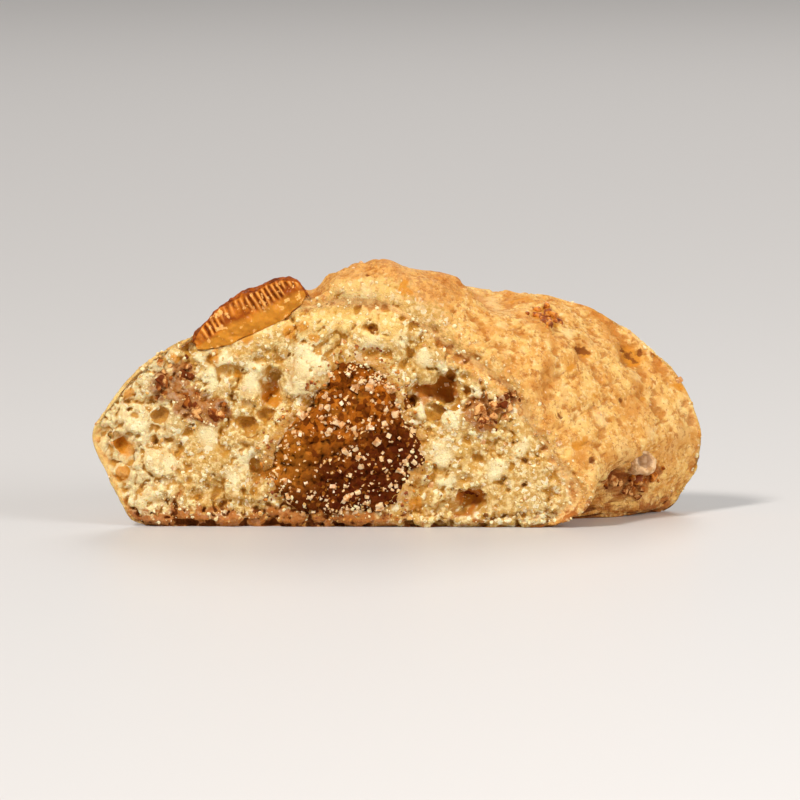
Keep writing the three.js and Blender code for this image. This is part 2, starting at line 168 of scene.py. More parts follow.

# Smooth pale lumps that stand out of the front cut: x, z, radius. Their paleness is partly painted
# highlight on the raised crumb.
PALE_LUMPS = [
    (-6.6, 13.4, 2.2), (-7.5, 11.3, 1.3), (2.5, 13.5, 1.0), (-11.2, 11.4, 1.3),
    (-10.9, 12.8, 1.1), (-14.3, 11.9, 1.3), (-13.4, 13.1, 1.1), (-15.2, 13.6, 0.8),
    (-11.9, 5.3, 1.2), (-12.6, 3.9, 1.0), (-17.6, 5.0, 0.9), (-19.9, 8.1, 0.9),
    (-14.5, 7.1, 1.1), (4.6, 8.4, 0.9), (2.3, 9.2, 0.8), (4.3, 3.6, 1.1),
    (4.1, 5.8, 1.3), (6.6, 10.9, 0.7), (-1.6, 14.6, 1.0), (0.6, 15.0, 0.9),
    (8.2, 4.6, 1.1), (10.2, 6.4, 0.9), (3.9, 12.8, 0.7),
    (4.6, 9.1, 0.8), (5.6, 10.2, 0.6),
]

# Pale swellings of the crust: x, y, z, radius. The last two are painted light over the shade that the
# peel's end casts on the crest.
CRUST_LUMPS = [
    (19.0, 2.8, 11.0, 0.7), (10.2, -4.4, 13.8, 0.6), (8.6, -3.7, 15.7, 0.7), (16.2, -2.2, 8.2, 1.0),
    (13.7, 0.5, 14.6, 0.9), (20.1, 0.9, 6.6, 0.9), (-3.4, -6.1, 18.1, 0.9), (-1.9, -6.1, 18.5, 0.9),
]

# Gaps between the lumps of the front cut, golden brown by painted shade: x, z, radius.
CRUMB_GAPS = [
    (-13.0, 12.4, 0.6), (-18.6, 3.2, 0.55), (-16.1, 3.7, 0.45), (-14.0, 2.8, 0.55),
    (-10.9, 2.9, 0.5), (-17.1, 6.2, 0.5), (-19.2, 6.5, 0.45), (-12.3, 12.4, 0.5),
    (-13.2, 6.2, 0.45), (-16.3, 7.4, 0.5), (-11.6, 9.6, 0.5), (-15.7, 12.8, 0.45),
    (-3.6, 15.2, 0.5), (-0.4, 13.9, 0.5),
    (3.2, 7.2, 0.45), (6.0, 6.9, 0.45), (5.4, 4.6, 0.4), (7.6, 6.0, 0.45),
    (9.4, 4.9, 0.4), (2.6, 4.5, 0.4), (8.9, 7.6, 0.4), (-20.3, 8.9, 0.4),
]

# Gaps in the torn crust of the crest: x, y, z, radius.
CREST_GAPS = [
    (-0.5, -5.7, 17.5, 0.45), (-2.8, -5.7, 17.2, 0.4), (1.6, -5.9, 16.0, 0.5), (5.1, -5.8, 13.3, 0.6),
]

# Amber stains of candied fruit in the front cut: x, z, radius.
AMBER_STAINS = [
    (-20.9, 10.5, 0.65), (-21.2, 6.4, 1.0), (-21.4, 4.2, 0.8), (-17.3, 13.4, 0.6), (-8.2, 15.2, 0.8),
    (-7.2, 16.0, 0.85), (-6.2, 15.2, 0.6), (-12.2, 12.0, 0.5), (1.7, 1.9, 0.9), (4.9, 9.6, 0.45),
    (-9.6, 10.2, 1.0), (-11.5, 15.0, 0.8), (-14.0, 13.6, 0.7), (-1.8, 15.9, 0.45), (5.9, 2.2, 0.9),
]

# Bits baked into the dough, the cut's nuts first: x, y, z, radius.
NUT_BITS = [
    (-18.0, -6.1, 11.2, 0.95), (-16.1, -6.0, 9.9, 1.05), (-14.2, -6.1, 9.2, 0.9),
    (-16.6, -6.1, 12.1, 0.75), (6.9, -6.1, 9.2, 1.05), (7.4, -6.0, 8.6, 0.7), (8.8, -6.0, 9.9, 0.6),
    (9.5, -5.8, 10.5, 0.45), (6.0, -5.0, 2.4, 0.5),
]
WALL_NUTS = [(17.6, -0.4, 3.2, 0.8), (18.6, 0.6, 2.6, 0.9)]
WALL_FRUIT = [(19.6, 1.0, 3.0, 0.8), (20.7, 1.5, 3.3, 0.65)]
CREST_FRUIT = [(11.5, 0.3, 16.3, 0.95), (12.6, 1.0, 16.4, 0.9), (12.1, -0.2, 15.8, 0.8)]
SUGAR_PEARL = (19.6, 0.3, 4.55, 1.15)
PEARL_FACING = np.array((0.45, -0.85, 0.27))

# Amber stains in the crust: x, y, z, radius.
CRUST_STAINS = [
    (12.1, 0.6, 16.3, 1.9), (14.7, -4.7, 6.5, 0.9), (18.8, 4.8, 12.5, 1.4), (15.0, 0.1, 13.3, 0.9),
    (13.7, -2.4, 12.3, 0.55), (10.6, -5.3, 11.5, 0.65), (15.7, -1.9, 9.8, 0.6), (19.6, 2.3, 9.5, 0.6),
    (22.4, 5.4, 10.2, 0.6), (1.0, -5.4, 18.7, 0.8), (9.7, 3.2, 17.3, 0.7),
]

# More bits on the back cut and the far slope of the crust: how many, their radii and their seed.
SCATTER = {"back": 9, "crust": 5, "smallest": 0.5, "largest": 0.9, "sunk": 0.3, "seed": 41}


# ---- Numbers ----

def smooth(value):
    """Eases a value that runs from 0 to 1: t * t * (3 - 2 t)."""
    t = np.clip(value, 0.0, 1.0)
    return t * t * (3 - 2 * t)


def ramp(value, start, end):
    """0 before the start and 1 past the end, eased between them."""
    return smooth((value - start) / (end - start))


def mix(first, second, share):
    return first + (second - first) * share


def seeded_random(seed):
    """Mulberry32 draws from 0 to 1, one at each call."""
    state = [seed]

    def draw():
        state[0] = (state[0] + 0x6D2B79F5) & 0xFFFFFFFF
        t = state[0]
        t = ((t ^ (t >> 15)) * (1 | t)) & 0xFFFFFFFF
        t ^= (t + (((t ^ (t >> 7)) * (61 | t)) & 0xFFFFFFFF)) & 0xFFFFFFFF
        return ((t ^ (t >> 14)) & 0xFFFFFFFF) / 4294967296
    return draw


def lattice_value(i, j, k, seed=0.0):
    """A fixed random value from -1 to 1 for a corner of the unit lattice: the fraction of a big sine."""
    scrambled = np.sin(12.9898 * i + 78.233 * j + 37.719 * k + seed) * 43758.5453
    return 2 * (scrambled - np.floor(scrambled)) - 1


def noise(points, seed=0.0):
    """Smooth noise, about -1 to 1: the corner values of each point's lattice cell, by eased shares."""
    home = np.floor(points)
    share = smooth(points - home)
    total = np.zeros(len(points))
    for corner in np.ndindex(2, 2, 2):
        weight = np.prod(np.where(corner, share, 1 - share), axis=1)
        total += weight * lattice_value(*(home + corner).T, seed)
    return total


TURN = np.array(((0.36, 0.48, -0.8), (-0.8, 0.6, 0.0), (0.48, 0.64, 0.6)))


def layered_noise(points, size, layers=3, seed=0.0):
    """Noise of a size in millimetres plus finer layers, each turned, 2.1 times finer and half as high."""
    total, height, place = 0.0, 1.0, points / size
    for layer in range(layers):
        total = total + height * noise(place, seed + 5.3 * layer)
        place = place @ TURN * 2.1
        height *= 0.5
    return total


def lumps(points):
    """Slow lumps of the baked dough: noise 3.4 mm and 1.7 mm across."""
    return 0.75 * noise(points / 3.4) + 0.5 * noise(points / 1.7 + np.array((9, 0, 0)))


def drawn_spheres(points, cell, chance, radii, seed):
    """Yields, for each of the 27 lattice cells round every point, the offset from the centre of the sphere
    drawn in that cell and the sphere's radius, which is 0 in the cells that hold none."""
    home = np.floor(points / cell)
    for step in np.ndindex(3, 3, 3):
        box = home + np.array(step) - 1
        draws = [0.5 + 0.5 * lattice_value(*box.T, seed + 3.7 * k) for k in range(5)]
        centre = (box + np.stack(draws[:3], axis=1)) * cell
        radius = np.where(draws[3] < chance, mix(*radii, draws[4] ** 2), 0.0)
        yield points - centre, radius


def bubbles(points, normals, cell, chance, radii, seed):
    """Depth by which open bubbles cut a surface: a point inside a sphere sinks against its normal n to
    the far wall, by q.n + sqrt((q.n)^2 + r^2 - q.q), where q runs from the centre to the point."""
    deepest = np.zeros(len(points))
    for q, radius in drawn_spheres(points, cell, chance, radii, seed):
        facing = (q * normals).sum(axis=1)
        inside = radius ** 2 - (q * q).sum(axis=1)
        depth = np.where(inside > 0, facing + np.sqrt(np.maximum(facing ** 2 + inside, 0)), 0)
        deepest = np.maximum(deepest, depth)
    return deepest


def grains(points, cell, chance, radii, seed):
    """Height of round grains on a surface: sqrt(r^2 - q.q) inside each drawn sphere."""
    highest = np.zeros(len(points))
    for q, radius in drawn_spheres(points, cell, chance, radii, seed):
        highest = np.maximum(highest, np.sqrt(np.maximum(radius ** 2 - (q * q).sum(axis=1), 0)))
    return highest


def warped(points, size, reach, seed):
    """The points moved about by up to the reach, by noise of that size, so that shapes turn out ragged."""
    moves = [layered_noise(points, size, 2, seed + 5 * axis) for axis in range(3)]
    return points + reach * np.stack(moves, axis=1)


def spots(points, places):
    """1 at the middle of round spots given by place and radius, falling to 0 at their edge."""
    strongest = np.zeros(len(points))
    for *place, radius in places:
        gone = np.linalg.norm(points - place, axis=1) / radius
        strongest = np.maximum(strongest, smooth(1.4 - 1.4 * gone))
    return strongest


def cracks(points, size, width, seed):
    """1 along thin winding lines where noise of that size passes through 0, falling to 0 at the width."""
    return 1 - smooth(np.abs(layered_noise(points, size, 2, seed)) / width)


# ---- Surfaces ----

def spline(points, share):
    """Catmull-Rom curve through the points, taken at shares of its length (201 samples set the length)."""
    points = np.array(points, float)

    def at(t):
        place = (len(points) - 1) * t
        low = np.minimum(np.floor(place).astype(int), len(points) - 1)
        w = (place - low)[:, None]
        before, start, end, after = (points[np.clip(low + k, 0, len(points) - 1)] for k in (-1, 0, 1, 2))
        leave, arrive = (end - before) / 2, (after - start) / 2
        return ((2 * start - 2 * end + leave + arrive) * w ** 3
                + (3 * end - 3 * start - 2 * leave - arrive) * w ** 2 + leave * w + start)

    steps = np.linspace(0, 1, 201)
    lengths = np.concatenate(((0,), np.cumsum(np.linalg.norm(np.diff(at(steps), axis=0), axis=1))))
    return at(np.interp(np.asarray(share) * lengths[-1], lengths, steps))


def outline_patch(outline, a, c):
    """Coons patch over a four-sided outline: opposite sides blended, less the blend of the corners."""
    left, right = spline(outline["left"], c), spline(outline["right"], c)
    top = spline(outline["top"], a)
    corners = [np.array(outline[side][end], float)
               for side, end in (("left", 0), ("right", 0), ("top", 0), ("top", -1))]
    a, c = a[:, None], c[:, None]
    bottom = mix(corners[0], corners[1], a)
    return mix(bottom, top, c) + mix(left, right, a) - mix(bottom, mix(corners[2], corners[3], a), c)


def closed_outline(outline, steps=60):
    """The outline as one loop of points, anticlockwise seen from the front."""
    t = np.linspace(0, 1, steps)
    return np.concatenate((spline(outline["right"], t)[:-1], spline(outline["top"], 1 - t)[:-1],
                           spline(outline["left"], 1 - t)))


def outline_distance(loop, xz):
    """Distance from each point to a closed loop, positive inside it."""
    start, end = loop, np.roll(loop, -1, axis=0)
    along = end - start
    best = np.full(len(xz), np.inf)
    crossings = np.zeros(len(xz), int)
    for s, e, d in zip(start, end, along):
        t = np.clip(((xz - s) @ d) / max(d @ d, 1e-12), 0, 1)
        best = np.minimum(best, np.linalg.norm(xz - s - t[:, None] * d, axis=1))
        straddles = (s[1] > xz[:, 1]) != (e[1] > xz[:, 1])
        if straddles.any():
            cross_x = s[0] + d[0] * (xz[:, 1] - s[1]) / (d[1] if d[1] else 1e-12)
            crossings += straddles & (xz[:, 0] < cross_x)
    return np.where(crossings % 2 == 1, best, -best)


class Skin:
    """The six sides of a box of cells with shared corners: shares a, b, c from 0 to 1 across, back and
    up, four-cornered faces turned outwards, and a flat layout for each side."""

    # The rectangle of the unit square that each side is laid out in: left, low, right, high.
    CHARTS = ((0.0, 0.0, 1.0, 0.3), (0.0, 0.3, 1.0, 0.6), (0.0, 0.6, 1.0, 0.75),
              (0.0, 0.75, 1.0, 0.9), (0.0, 0.9, 0.5, 1.0), (0.5, 0.9, 1.0, 1.0))
    CHART_MARGIN = 0.005

    def __init__(self, a_steps, b_steps, c_steps):
        counts = [len(steps) for steps in (a_steps, b_steps, c_steps)]
        on_skin = np.ones(counts, bool)
        on_skin[1:-1, 1:-1, 1:-1] = False
        ids = np.full(counts, -1)
        ids[on_skin] = np.arange(on_skin.sum())
        i, j, k = np.nonzero(on_skin)
        self.a, self.b, self.c = a_steps[i], b_steps[j], c_steps[k]
        sides = [(ids[:, 0, :], False), (ids[:, -1, :], True), (ids[:, :, -1], False),
                 (ids[:, :, 0], True), (ids[-1, :, :], False), (ids[0, :, :], True)]
        grids = [side.T if turned else side for side, turned in sides]
        self.faces = np.concatenate([self.cells(grid) for grid in grids])
        self.layout = np.concatenate([self.cells(self.laid_out(grid.shape, turned, chart))
                                      for grid, (_, turned), chart in zip(grids, sides, self.CHARTS)])

    @staticmethod
    def cells(grid):
        """The four corners of each cell of a grid, one cell after the other."""
        corners = np.stack((grid[:-1, :-1], grid[1:, :-1], grid[1:, 1:], grid[:-1, 1:]), axis=2)
        return corners.reshape(-1, *corners.shape[2:])

    def laid_out(self, shape, turned, chart):
        """Spreads a side's points over its rectangle of the unit square, a little in from the edges."""
        u, v = np.meshgrid(*(np.linspace(0, 1, n) for n in shape), indexing="ij")
        if turned:
            u, v = v, u
        left, low, right, high = chart
        across = mix(left + self.CHART_MARGIN, right - self.CHART_MARGIN, u)
        return np.stack((across, mix(low + self.CHART_MARGIN, high - self.CHART_MARGIN, v)), axis=-1)


def even_skin(across, through, up):
    """A skin with a number of equal cells each way."""
    return Skin(*(np.linspace(0, 1, cells + 1) for cells in (across, through, up)))


def vertex_normals(points, faces):
    """Outward unit normals: the cross products of each face's diagonals, summed at its corners."""
    a, b, c, d = (points[faces[:, k]] for k in range(4))
    facing = np.cross(c - a, d - b)
    total = np.zeros_like(points)
    for corner in range(4):
        for axis in range(3):
            total[:, axis] += np.bincount(faces[:, corner], facing[:, axis], len(points))
    return total / np.maximum(np.linalg.norm(total, axis=1, keepdims=True), 1e-12)


def neighbour_mean(faces, count):
    """Gives a function that averages each point's neighbours along the edges of the faces."""
    start = np.concatenate([faces[:, k] for k in range(4)])
    end = np.concatenate([faces[:, (k + 1) % 4] for k in range(4)])
    one_way, other_way = np.concatenate((start, end)), np.concatenate((end, start))
    number = np.bincount(one_way, minlength=count)[:, None]

    def mean(values):
        sums = [np.bincount(one_way, values[other_way, axis], count) for axis in range(3)]
        return np.stack(sums, axis=1) / number
    return mean


def eased(points, faces, weight, rounds):
    """Rounds corners off: each point moves towards its neighbours' mean by its weight, many times."""
    mean = neighbour_mean(faces, len(points))
    for _ in range(rounds):
        points = mix(points, mean(points), weight[:, None])
    return points


def sunkness(points, normals, faces, rounds):
    """How far each point lies below the surface averaged over its neighbours, in millimetres: the measure
    by which the finishes paint shade into hollows.
    """
    level = eased(points, faces, np.full(len(points), 0.7), rounds)
    return ((level - points) * normals).sum(axis=1)


def make_piece(name, points, faces, finish, layout=None, **values):
    """Makes a smooth-shaded mesh object from millimetres, moved into the frame, with its values as point
    attributes."""
    mesh = bpy.data.meshes.new(name)
    mesh.from_pydata(((points + SHIFT) * MM).tolist(), [], faces.tolist())
    for key, numbers in values.items():
        attribute = mesh.attributes.new(key, "FLOAT", "POINT")
        attribute.data.foreach_set("value", np.asarray(numbers, np.float32))
    if layout is not None:
        mesh.uv_layers.new(name="OFBake").data.foreach_set("uv", layout.reshape(-1).astype(np.float32))
    mesh.shade_smooth()
    mesh.materials.append(finish)
    piece = bpy.data.objects.new(name, mesh)
    bpy.context.collection.objects.link(piece)
    return piece


# ---- Shape of the slice ----

def hollow_shape(share):
    """Round-bottomed hollow: (1 - s^2)^1.5 inside its rim, 0 outside."""
    return np.maximum(1 - share * share, 0) ** 1.5


def hollow_depths(hollows, x, z):
    return [depth * hollow_shape(np.hypot((x - hx) / half_width, (z - hz) / half_height))
            for hx, hz, half_width, half_height, depth in hollows]


def seeded_hollows(seed, count, x_range, widths, depths):
    """Draws pores as place, half width, half height and depth."""
    draw = seeded_random(seed)
    made = []
    for _ in range(count):
        half_width = mix(*widths, draw())
        x, z = mix(*x_range, draw()), mix(1.5, 16, draw())
        made.append((x, z, half_width, half_width * mix(0.6, 0.9, draw()), mix(*depths, draw())))
    return made


def crust_dent(points):
    return sum(depth * hollow_shape(np.linalg.norm(points - (x, y, z), axis=1) / radius)
               for x, y, z, radius, depth in CRUST_DENTS)


def front_hollows(points, raggedness):
    """Depth of the named hollows of the front cut, with rims that wander by the raggedness."""
    wandering = warped(points, 1.2, raggedness, 51.0)
    return sum(hollow_depths(FRONT_HOLLOWS, wandering[:, 0], wandering[:, 2]))


def fold_depth(a, b, z):
    """How far the right-hand wall steps back behind the lip of the front cut: eased in and out through
    the thickness, growing to the right and gone above its height."""
    through = ramp(b, 0, FOLD["full"]) * (1 - ramp(b, FOLD["leaves"], FOLD["gone"]))
    across = ramp(a, FOLD["start"], 1)
    return FOLD["depth"] * through * across * (1 - ramp(z, FOLD["low"], FOLD["high"]))


def dough_form(a, b, c, raggedness=0.0):
    """The slice without its fine texture: the front outline turns into the back one, the crust swells by
    sin(pi b^bias) most near the front, and lumps, dents and hollows push the skin in or out. Raggedness
    is how far the rims of the named hollows wander."""
    middles = [(cut["left"][0][0] + cut["right"][0][0]) / 2 for cut in (FRONT_CUT, BACK_CUT)]
    section = mix(outline_patch(FRONT_CUT, a, c), outline_patch(BACK_CUT, a, c), b[:, None])
    middle = mix(*middles, b)
    swell = np.sin(np.pi * b ** SWELL_BIAS) * smooth((a - SWELL_START / 2) / SWELL_START)
    x = middle + (section[:, 0] - middle) * (1 + SPREAD * swell)
    y = (b - 0.5) * THICKNESS
    z = section[:, 1] * (1 + RISE * swell)
    x = x - fold_depth(a, b, z)
    fade = smooth(z / BASE_BAND)
    points = np.stack((x, y, z), axis=1)
    relief = lumps(points)
    away = np.stack((x - middle, (z - HEART[0]) * HEART[1]), axis=1)
    away /= np.linalg.norm(away, axis=1, keepdims=True)
    on_crust = (a == 0) | (a == 1) | (c == 1)
    push = np.where(on_crust, fade * (CRUST_RELIEF * relief - crust_dent(points)), 0)
    x, z = x + push * away[:, 0], z + push * away[:, 1]
    foot = mix(CUT_FOOT_RELIEF, 1, fade)
    from_rim = np.minimum(np.minimum(a, 1 - a) * RIM["width"], (1 - c) * RIM["height"])
    rim = RIM["set_back"] * (1 - smooth(from_rim / RIM["band"]))
    front_sink = (front_hollows(np.stack((x, y, z), axis=1), raggedness)
                  + np.max(hollow_depths(seeded_hollows(**FRONT_PORES), x, z), axis=0))
    back_sink = np.max(hollow_depths(seeded_hollows(**BACK_PORES), x, z), axis=0)
    sunk = rim + CRUMB_RELIEF * relief * foot
    y = y + np.where(b == 0, sunk + front_sink * fade, 0) - np.where(b == 1, sunk + back_sink * fade, 0)
    lowest = np.minimum(LOWEST_SKIN, FOOT_STEEPNESS * c)
    return np.stack((x, y, np.maximum(z, lowest)), axis=1)


def chunk_section(share, xz, grow=0.0):
    """Where a point of the chunk's front section lies at a share of the way to the back."""
    out = xz - CHUNK_HEART
    length = np.linalg.norm(out, axis=1, keepdims=True)
    share = np.broadcast_to(share, len(xz))[:, None]
    wide = out * mix(1, CHUNK_BACK_SCALE, share) + grow * out / np.maximum(length, 1e-9)
    return CHUNK_HEART + wide + CHUNK_BACK_SHIFT * share


def chunk_form(a, b, c):
    """The candied chunk: its section slides along the slant and shrinks towards the back; both cut
    faces are crowned and lumpy."""
    xz = outline_patch(CHUNK_OUTLINE, a, c)
    flat = (b - 0.5) * (THICKNESS + 2 * CHUNK_PROUD)
    placed = chunk_section(flat / THICKNESS + 0.5, xz)
    points = np.stack((placed[:, 0], flat, placed[:, 1]), axis=1)
    reach = np.linalg.norm(xz - CHUNK_HEART, axis=1)
    crown = CHUNK_CROWN[0] * (2 * b - 1) * smooth(1 - reach / CHUNK_CROWN[1])
    end = np.where((b == 0) | (b == 1), CHUNK_GRAIN * lumps(points * CHUNK_GRAIN_FINENESS), 0)
    points[:, 1] += end + crown
    return points


def peel_form(a, b, c):
    """The peel: a lens, pointed at its low end and blunt at its high end, with its rind bulging above
    the line between the ends and its face rounded off; it flattens and dips under the crust towards the
    back."""
    along = PEEL_ENDS[1] - PEEL_ENDS[0]
    unit = along / np.linalg.norm(along)
    from_middle = np.abs(2 * a - 1)
    belly = np.where(a < 0.5, 1 - from_middle ** 2, np.sqrt(1 - from_middle ** PEEL_BLUNT))
    keel = PEEL_EDGE + PEEL_KEEL * np.sqrt(1 - from_middle ** 2)
    keel = keel * (1 - PEEL_KEEL_LOSS * a ** PEEL_KEEL_END)
    dip = b ** PEEL_DIP
    above = PEEL_EDGE + PEEL_CROWN * (1 - PEEL_TAPER * dip) * belly
    height = mix(-keel, above, c) - PEEL_SINK * dip
    round_off = PEEL_FACE_ROUNDING * belly * (2 * c - 1) ** 2 * (1 - smooth(b / 0.25))
    x = PEEL_ENDS[0, 0] + along[0] * a - unit[1] * height + PEEL_LEAN * b
    z = PEEL_ENDS[0, 1] + along[1] * a + unit[0] * height
    return np.stack((x, mix(*PEEL_DEPTH, b) + round_off, z), axis=1)


def frame_shift():
    """The move that puts this script's shapes where the frame's are, read off the chunk's own box."""
    coarse = even_skin(*SOLID_CHUNK_CELLS)
    points = chunk_form(coarse.a, coarse.b, coarse.c)
    low, high = (np.array(corner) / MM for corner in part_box("candied_chunk"))
    return (low + high) / 2 - (points.min(axis=0) + points.max(axis=0)) / 2


SHIFT = frame_shift() * (1, 1, 0)


# ---- Finishes ----

def colour(red, green, blue):
    """A colour given in the 0 to 255 steps of a screen, as the shader's linear values."""
    steps = (value / 255 for value in (red, green, blue))
    return (*(s / 12.92 if s <= 0.04045 else ((s + 0.055) / 1.055) ** 2.4 for s in steps), 1.0)


class Wire:
    """A shader socket in Python sums and products: each operator adds its Math node."""

    def __init__(self, socket):
        self.socket = socket

    def math(self, operation, *others):
        numbers = dict(enumerate((self, *others)))
        return add_node(self.socket.id_data, "ShaderNodeMath", {"operation": operation}, numbers)

    def __add__(self, other):
        return self.math("ADD", other)

    def __sub__(self, other):
        return self.math("SUBTRACT", other)

    def __rsub__(self, other):
        return (self * -1.0).math("ADD", other)

    def __mul__(self, other):
        return self.math("MULTIPLY", other)

    __radd__, __rmul__ = __add__, __mul__

    def ease(self, low, high, to_low=0.0, to_high=1.0):
        """Maps low..high to to_low..to_high, eased and clamped."""
        settings = {"interpolation_type": "SMOOTHSTEP"}
        sockets = {0: self, 1: low, 2: high, 3: to_low, 4: to_high}
        return add_node(self.socket.id_data, "ShaderNodeMapRange", settings, sockets)


def add_node(tree, kind, settings=None, sockets=None, out=0):
    """Adds a node, sets it up, then gives each named or numbered socket its value or link."""
    node = tree.nodes.new(kind)
    for key, value in (settings or {}).items():
        setattr(node, key, value)
    for key, value in (sockets or {}).items():
        if isinstance(value, Wire):
            tree.links.new(value.socket, node.inputs[key])
        else:
            node.inputs[key].default_value = value
    return Wire(node.outputs[out])


class Finish:
    """A material under construction: textures in object millimetres and one Principled shader."""

    def __init__(self, name, **constants):
        self.material = bpy.data.materials.new(name)
        self.material.use_nodes = True
        self.tree = self.material.node_tree
        self.shader = self.tree.nodes["Principled BSDF"]
        for key, value in constants.items():
            self.shader.inputs[key.replace("_", " ")].default_value = value
        self.place = self.node("ShaderNodeTexCoord", out="Object")

    def node(self, kind, settings=None, sockets=None, out=0):
        return add_node(self.tree, kind, settings, sockets, out)

    def value(self, name):
        return self.node("ShaderNodeAttribute", {"attribute_name": name}, out="Fac")

    def values(self, *names):
        return [self.value(name) for name in names]

    def moved(self, shift):
        return self.node("ShaderNodeVectorMath", {"operation": "ADD"}, {0: self.place, 1: (shift,) * 3})

    def noise(self, size, detail=3.0, roughness=0.55, shift=0.0):
        """Noise of a size in millimetres, about 0.3 to 0.7."""
        sockets = {"Vector": self.moved(shift), "Scale": 1 / (size * MM), "Detail": detail,
                   "Roughness": roughness}
        return self.node("ShaderNodeTexNoise", None, sockets)

    def cells(self, size, shift=0.0):
        """A random value for each cell round scattered points a size in millimetres apart."""
        sockets = {"Vector": self.moved(shift), "Scale": 1 / (size * MM)}
        return self.node("ShaderNodeTexVoronoi", None, sockets, "Color")

    def blend(self, first, second, share):
        """Mixes two colours, each a wire or three screen values."""
        first, second = (hue if isinstance(hue, Wire) else colour(*hue) for hue in (first, second))
        settings = {"data_type": "RGBA", "clamp_factor": True}
        return self.node("ShaderNodeMix", settings, {0: share, 6: first, 7: second}, 2)

    def layers(self, base, *coats):
        """Lays colours over the base one after the other, each by its share."""
        for hue, share in coats:
            base = self.blend(base, hue, share)
        return base

    def bump(self, height, depth_mm, strength=1.0):
        sockets = {"Height": height, "Distance": depth_mm * MM, "Strength": strength}
        return self.node("ShaderNodeBump", None, sockets)

    def finish(self, **feeds):
        for key, wire in feeds.items():
            self.tree.links.new(wire.socket, self.shader.inputs[key.replace("_", " ")])
        return self.material


def dough_finish():
    """Pale porous crumb, warmer near the crest (partly painted light), and golden crust, both browner in
    their hollows by painted shade, with a toasted foot whose gaps hold painted shade, nut dust, amber
    stains, brown pits partly darkened by painted shade, and a painted highlight on the pale lumps."""
    f = Finish("baked dough", Subsurface_Weight=0.3, Subsurface_Scale=0.0007,
               Subsurface_Radius=(1.0, 0.6, 0.22), Specular_IOR_Level=0.15)
    crust, sunk, deep, toast, soak, nut = f.values("crust", "sunk", "deep", "toast", "soak", "nut")
    amber, burnt, pale, baked, warm = f.values("amber", "burnt", "pale", "baked", "warm")
    speck = f.noise(0.35, 2.0)
    patch = f.noise(2.6, 3.0, shift=0.003)
    crumb = f.layers(
        f.blend((204, 158, 86), (246, 220, 158), speck.ease(0.4, 0.63)),
        ((204, 152, 70), f.cells(0.5).ease(0.5, 0.75) * 0.5),
        ((210, 158, 70), patch.ease(0.46, 0.68) * 0.5),
        ((255, 246, 210), f.cells(0.32, 0.008).ease(0.7, 0.82) * 0.7),
        # paler crumb on the lumps and rims: partly its own tone, partly painted highlight
        ((254, 240, 190), pale * 0.75),
        # warmer gold high on the front cut and the crest: partly the crumb's own colour, partly painted
        # light over the shade cast by the peel
        ((255, 214, 130), (warm + (patch - 0.5) * 2).ease(0.3, 1.0) * 0.5),
        # painted shade: golden brown in the crumb's hollows
        ((202, 140, 46), sunk.ease(-0.02, 0.11) * 0.9),
        # painted shade: brown deep in the pockets and gaps of the crumb
        ((186, 108, 26), (deep + (speck - 0.5) * 0.9).ease(0.45, 1.15) * 0.95),
        ((190, 120, 34), (soak + (speck - 0.5) * 1.6).ease(0.45, 1.0) * 0.6),
    )
    bronze = f.blend((184, 106, 34), (226, 158, 78), f.noise(0.5, 4.0, 0.7, 0.015).ease(0.4, 0.6))
    gold = f.layers(
        f.blend((224, 158, 74), (246, 198, 116), f.noise(0.9, 4.0, 0.65, 0.001).ease(0.38, 0.62)),
        ((255, 224, 160), f.noise(0.36, 3.0, 0.65, 0.006).ease(0.52, 0.64) * 0.6),
        ((212, 138, 56), patch.ease(0.46, 0.66) * 0.7),
        ((250, 212, 140), f.noise(3.4, 2.0, 0.5, 0.013).ease(0.55, 0.68) * 0.45),
        (bronze, (baked + (patch - 0.5) * 1.4).ease(0.35, 0.95) * 0.65),
        ((180, 100, 34), f.noise(0.5, 3.0, 0.7, 0.011).ease(0.52, 0.64) * 0.65),
        # paler crust on its swellings, the two by the peel's end painted light over its shadow
        ((248, 208, 140), pale * 0.8),
        # painted shade: browner gold in the crust's hollows
        ((196, 120, 42), sunk.ease(0.01, 0.1) * 0.7),
        # painted shade: brown deep in the crust's pits
        ((160, 90, 26), deep.ease(0.3, 0.7) * 0.7),
    )
    edge = (crust + (speck - 0.5) * 0.9).ease(0.3, 0.7)
    brown = (toast + (f.noise(0.7, 3.0, shift=0.009) - 0.5) * 2.4).ease(0.38, 0.85)
    base = f.layers(
        f.blend(crumb, gold, edge),
        ((166, 92, 36), (nut + (f.noise(0.5, 3.0, shift=0.001) - 0.5) * 1.2).ease(0.3, 0.75) * 0.75),
        ((220, 142, 36), (amber + (speck - 0.5) * 0.8).ease(0.15, 0.7) * 0.8),
        # brown round the pits: partly the crust's browning, partly painted shade in the pits and round the
        # bits
        ((132, 66, 16), (burnt + (speck - 0.5) * 1.4).ease(0.35, 0.8) * 0.85),
        ((176, 100, 38), brown * 0.88),
        # painted shade: dark brown in the gaps along the toasted foot
        ((104, 46, 8), (toast * sunk.ease(0.01, 0.1)).ease(0.15, 0.7) * 0.85),
    )
    fine = f.noise(0.22, 3.0, 0.6, 0.002)
    rough = f.noise(0.1, 2.0, 0.5, 0.004)
    return f.finish(
        Base_Color=base,
        Roughness=edge.ease(0, 1, 0.85, 0.62) + (fine - 0.5) * 0.25,
        Normal=f.bump(fine + rough * 0.7, 0.2, 0.85),
    )


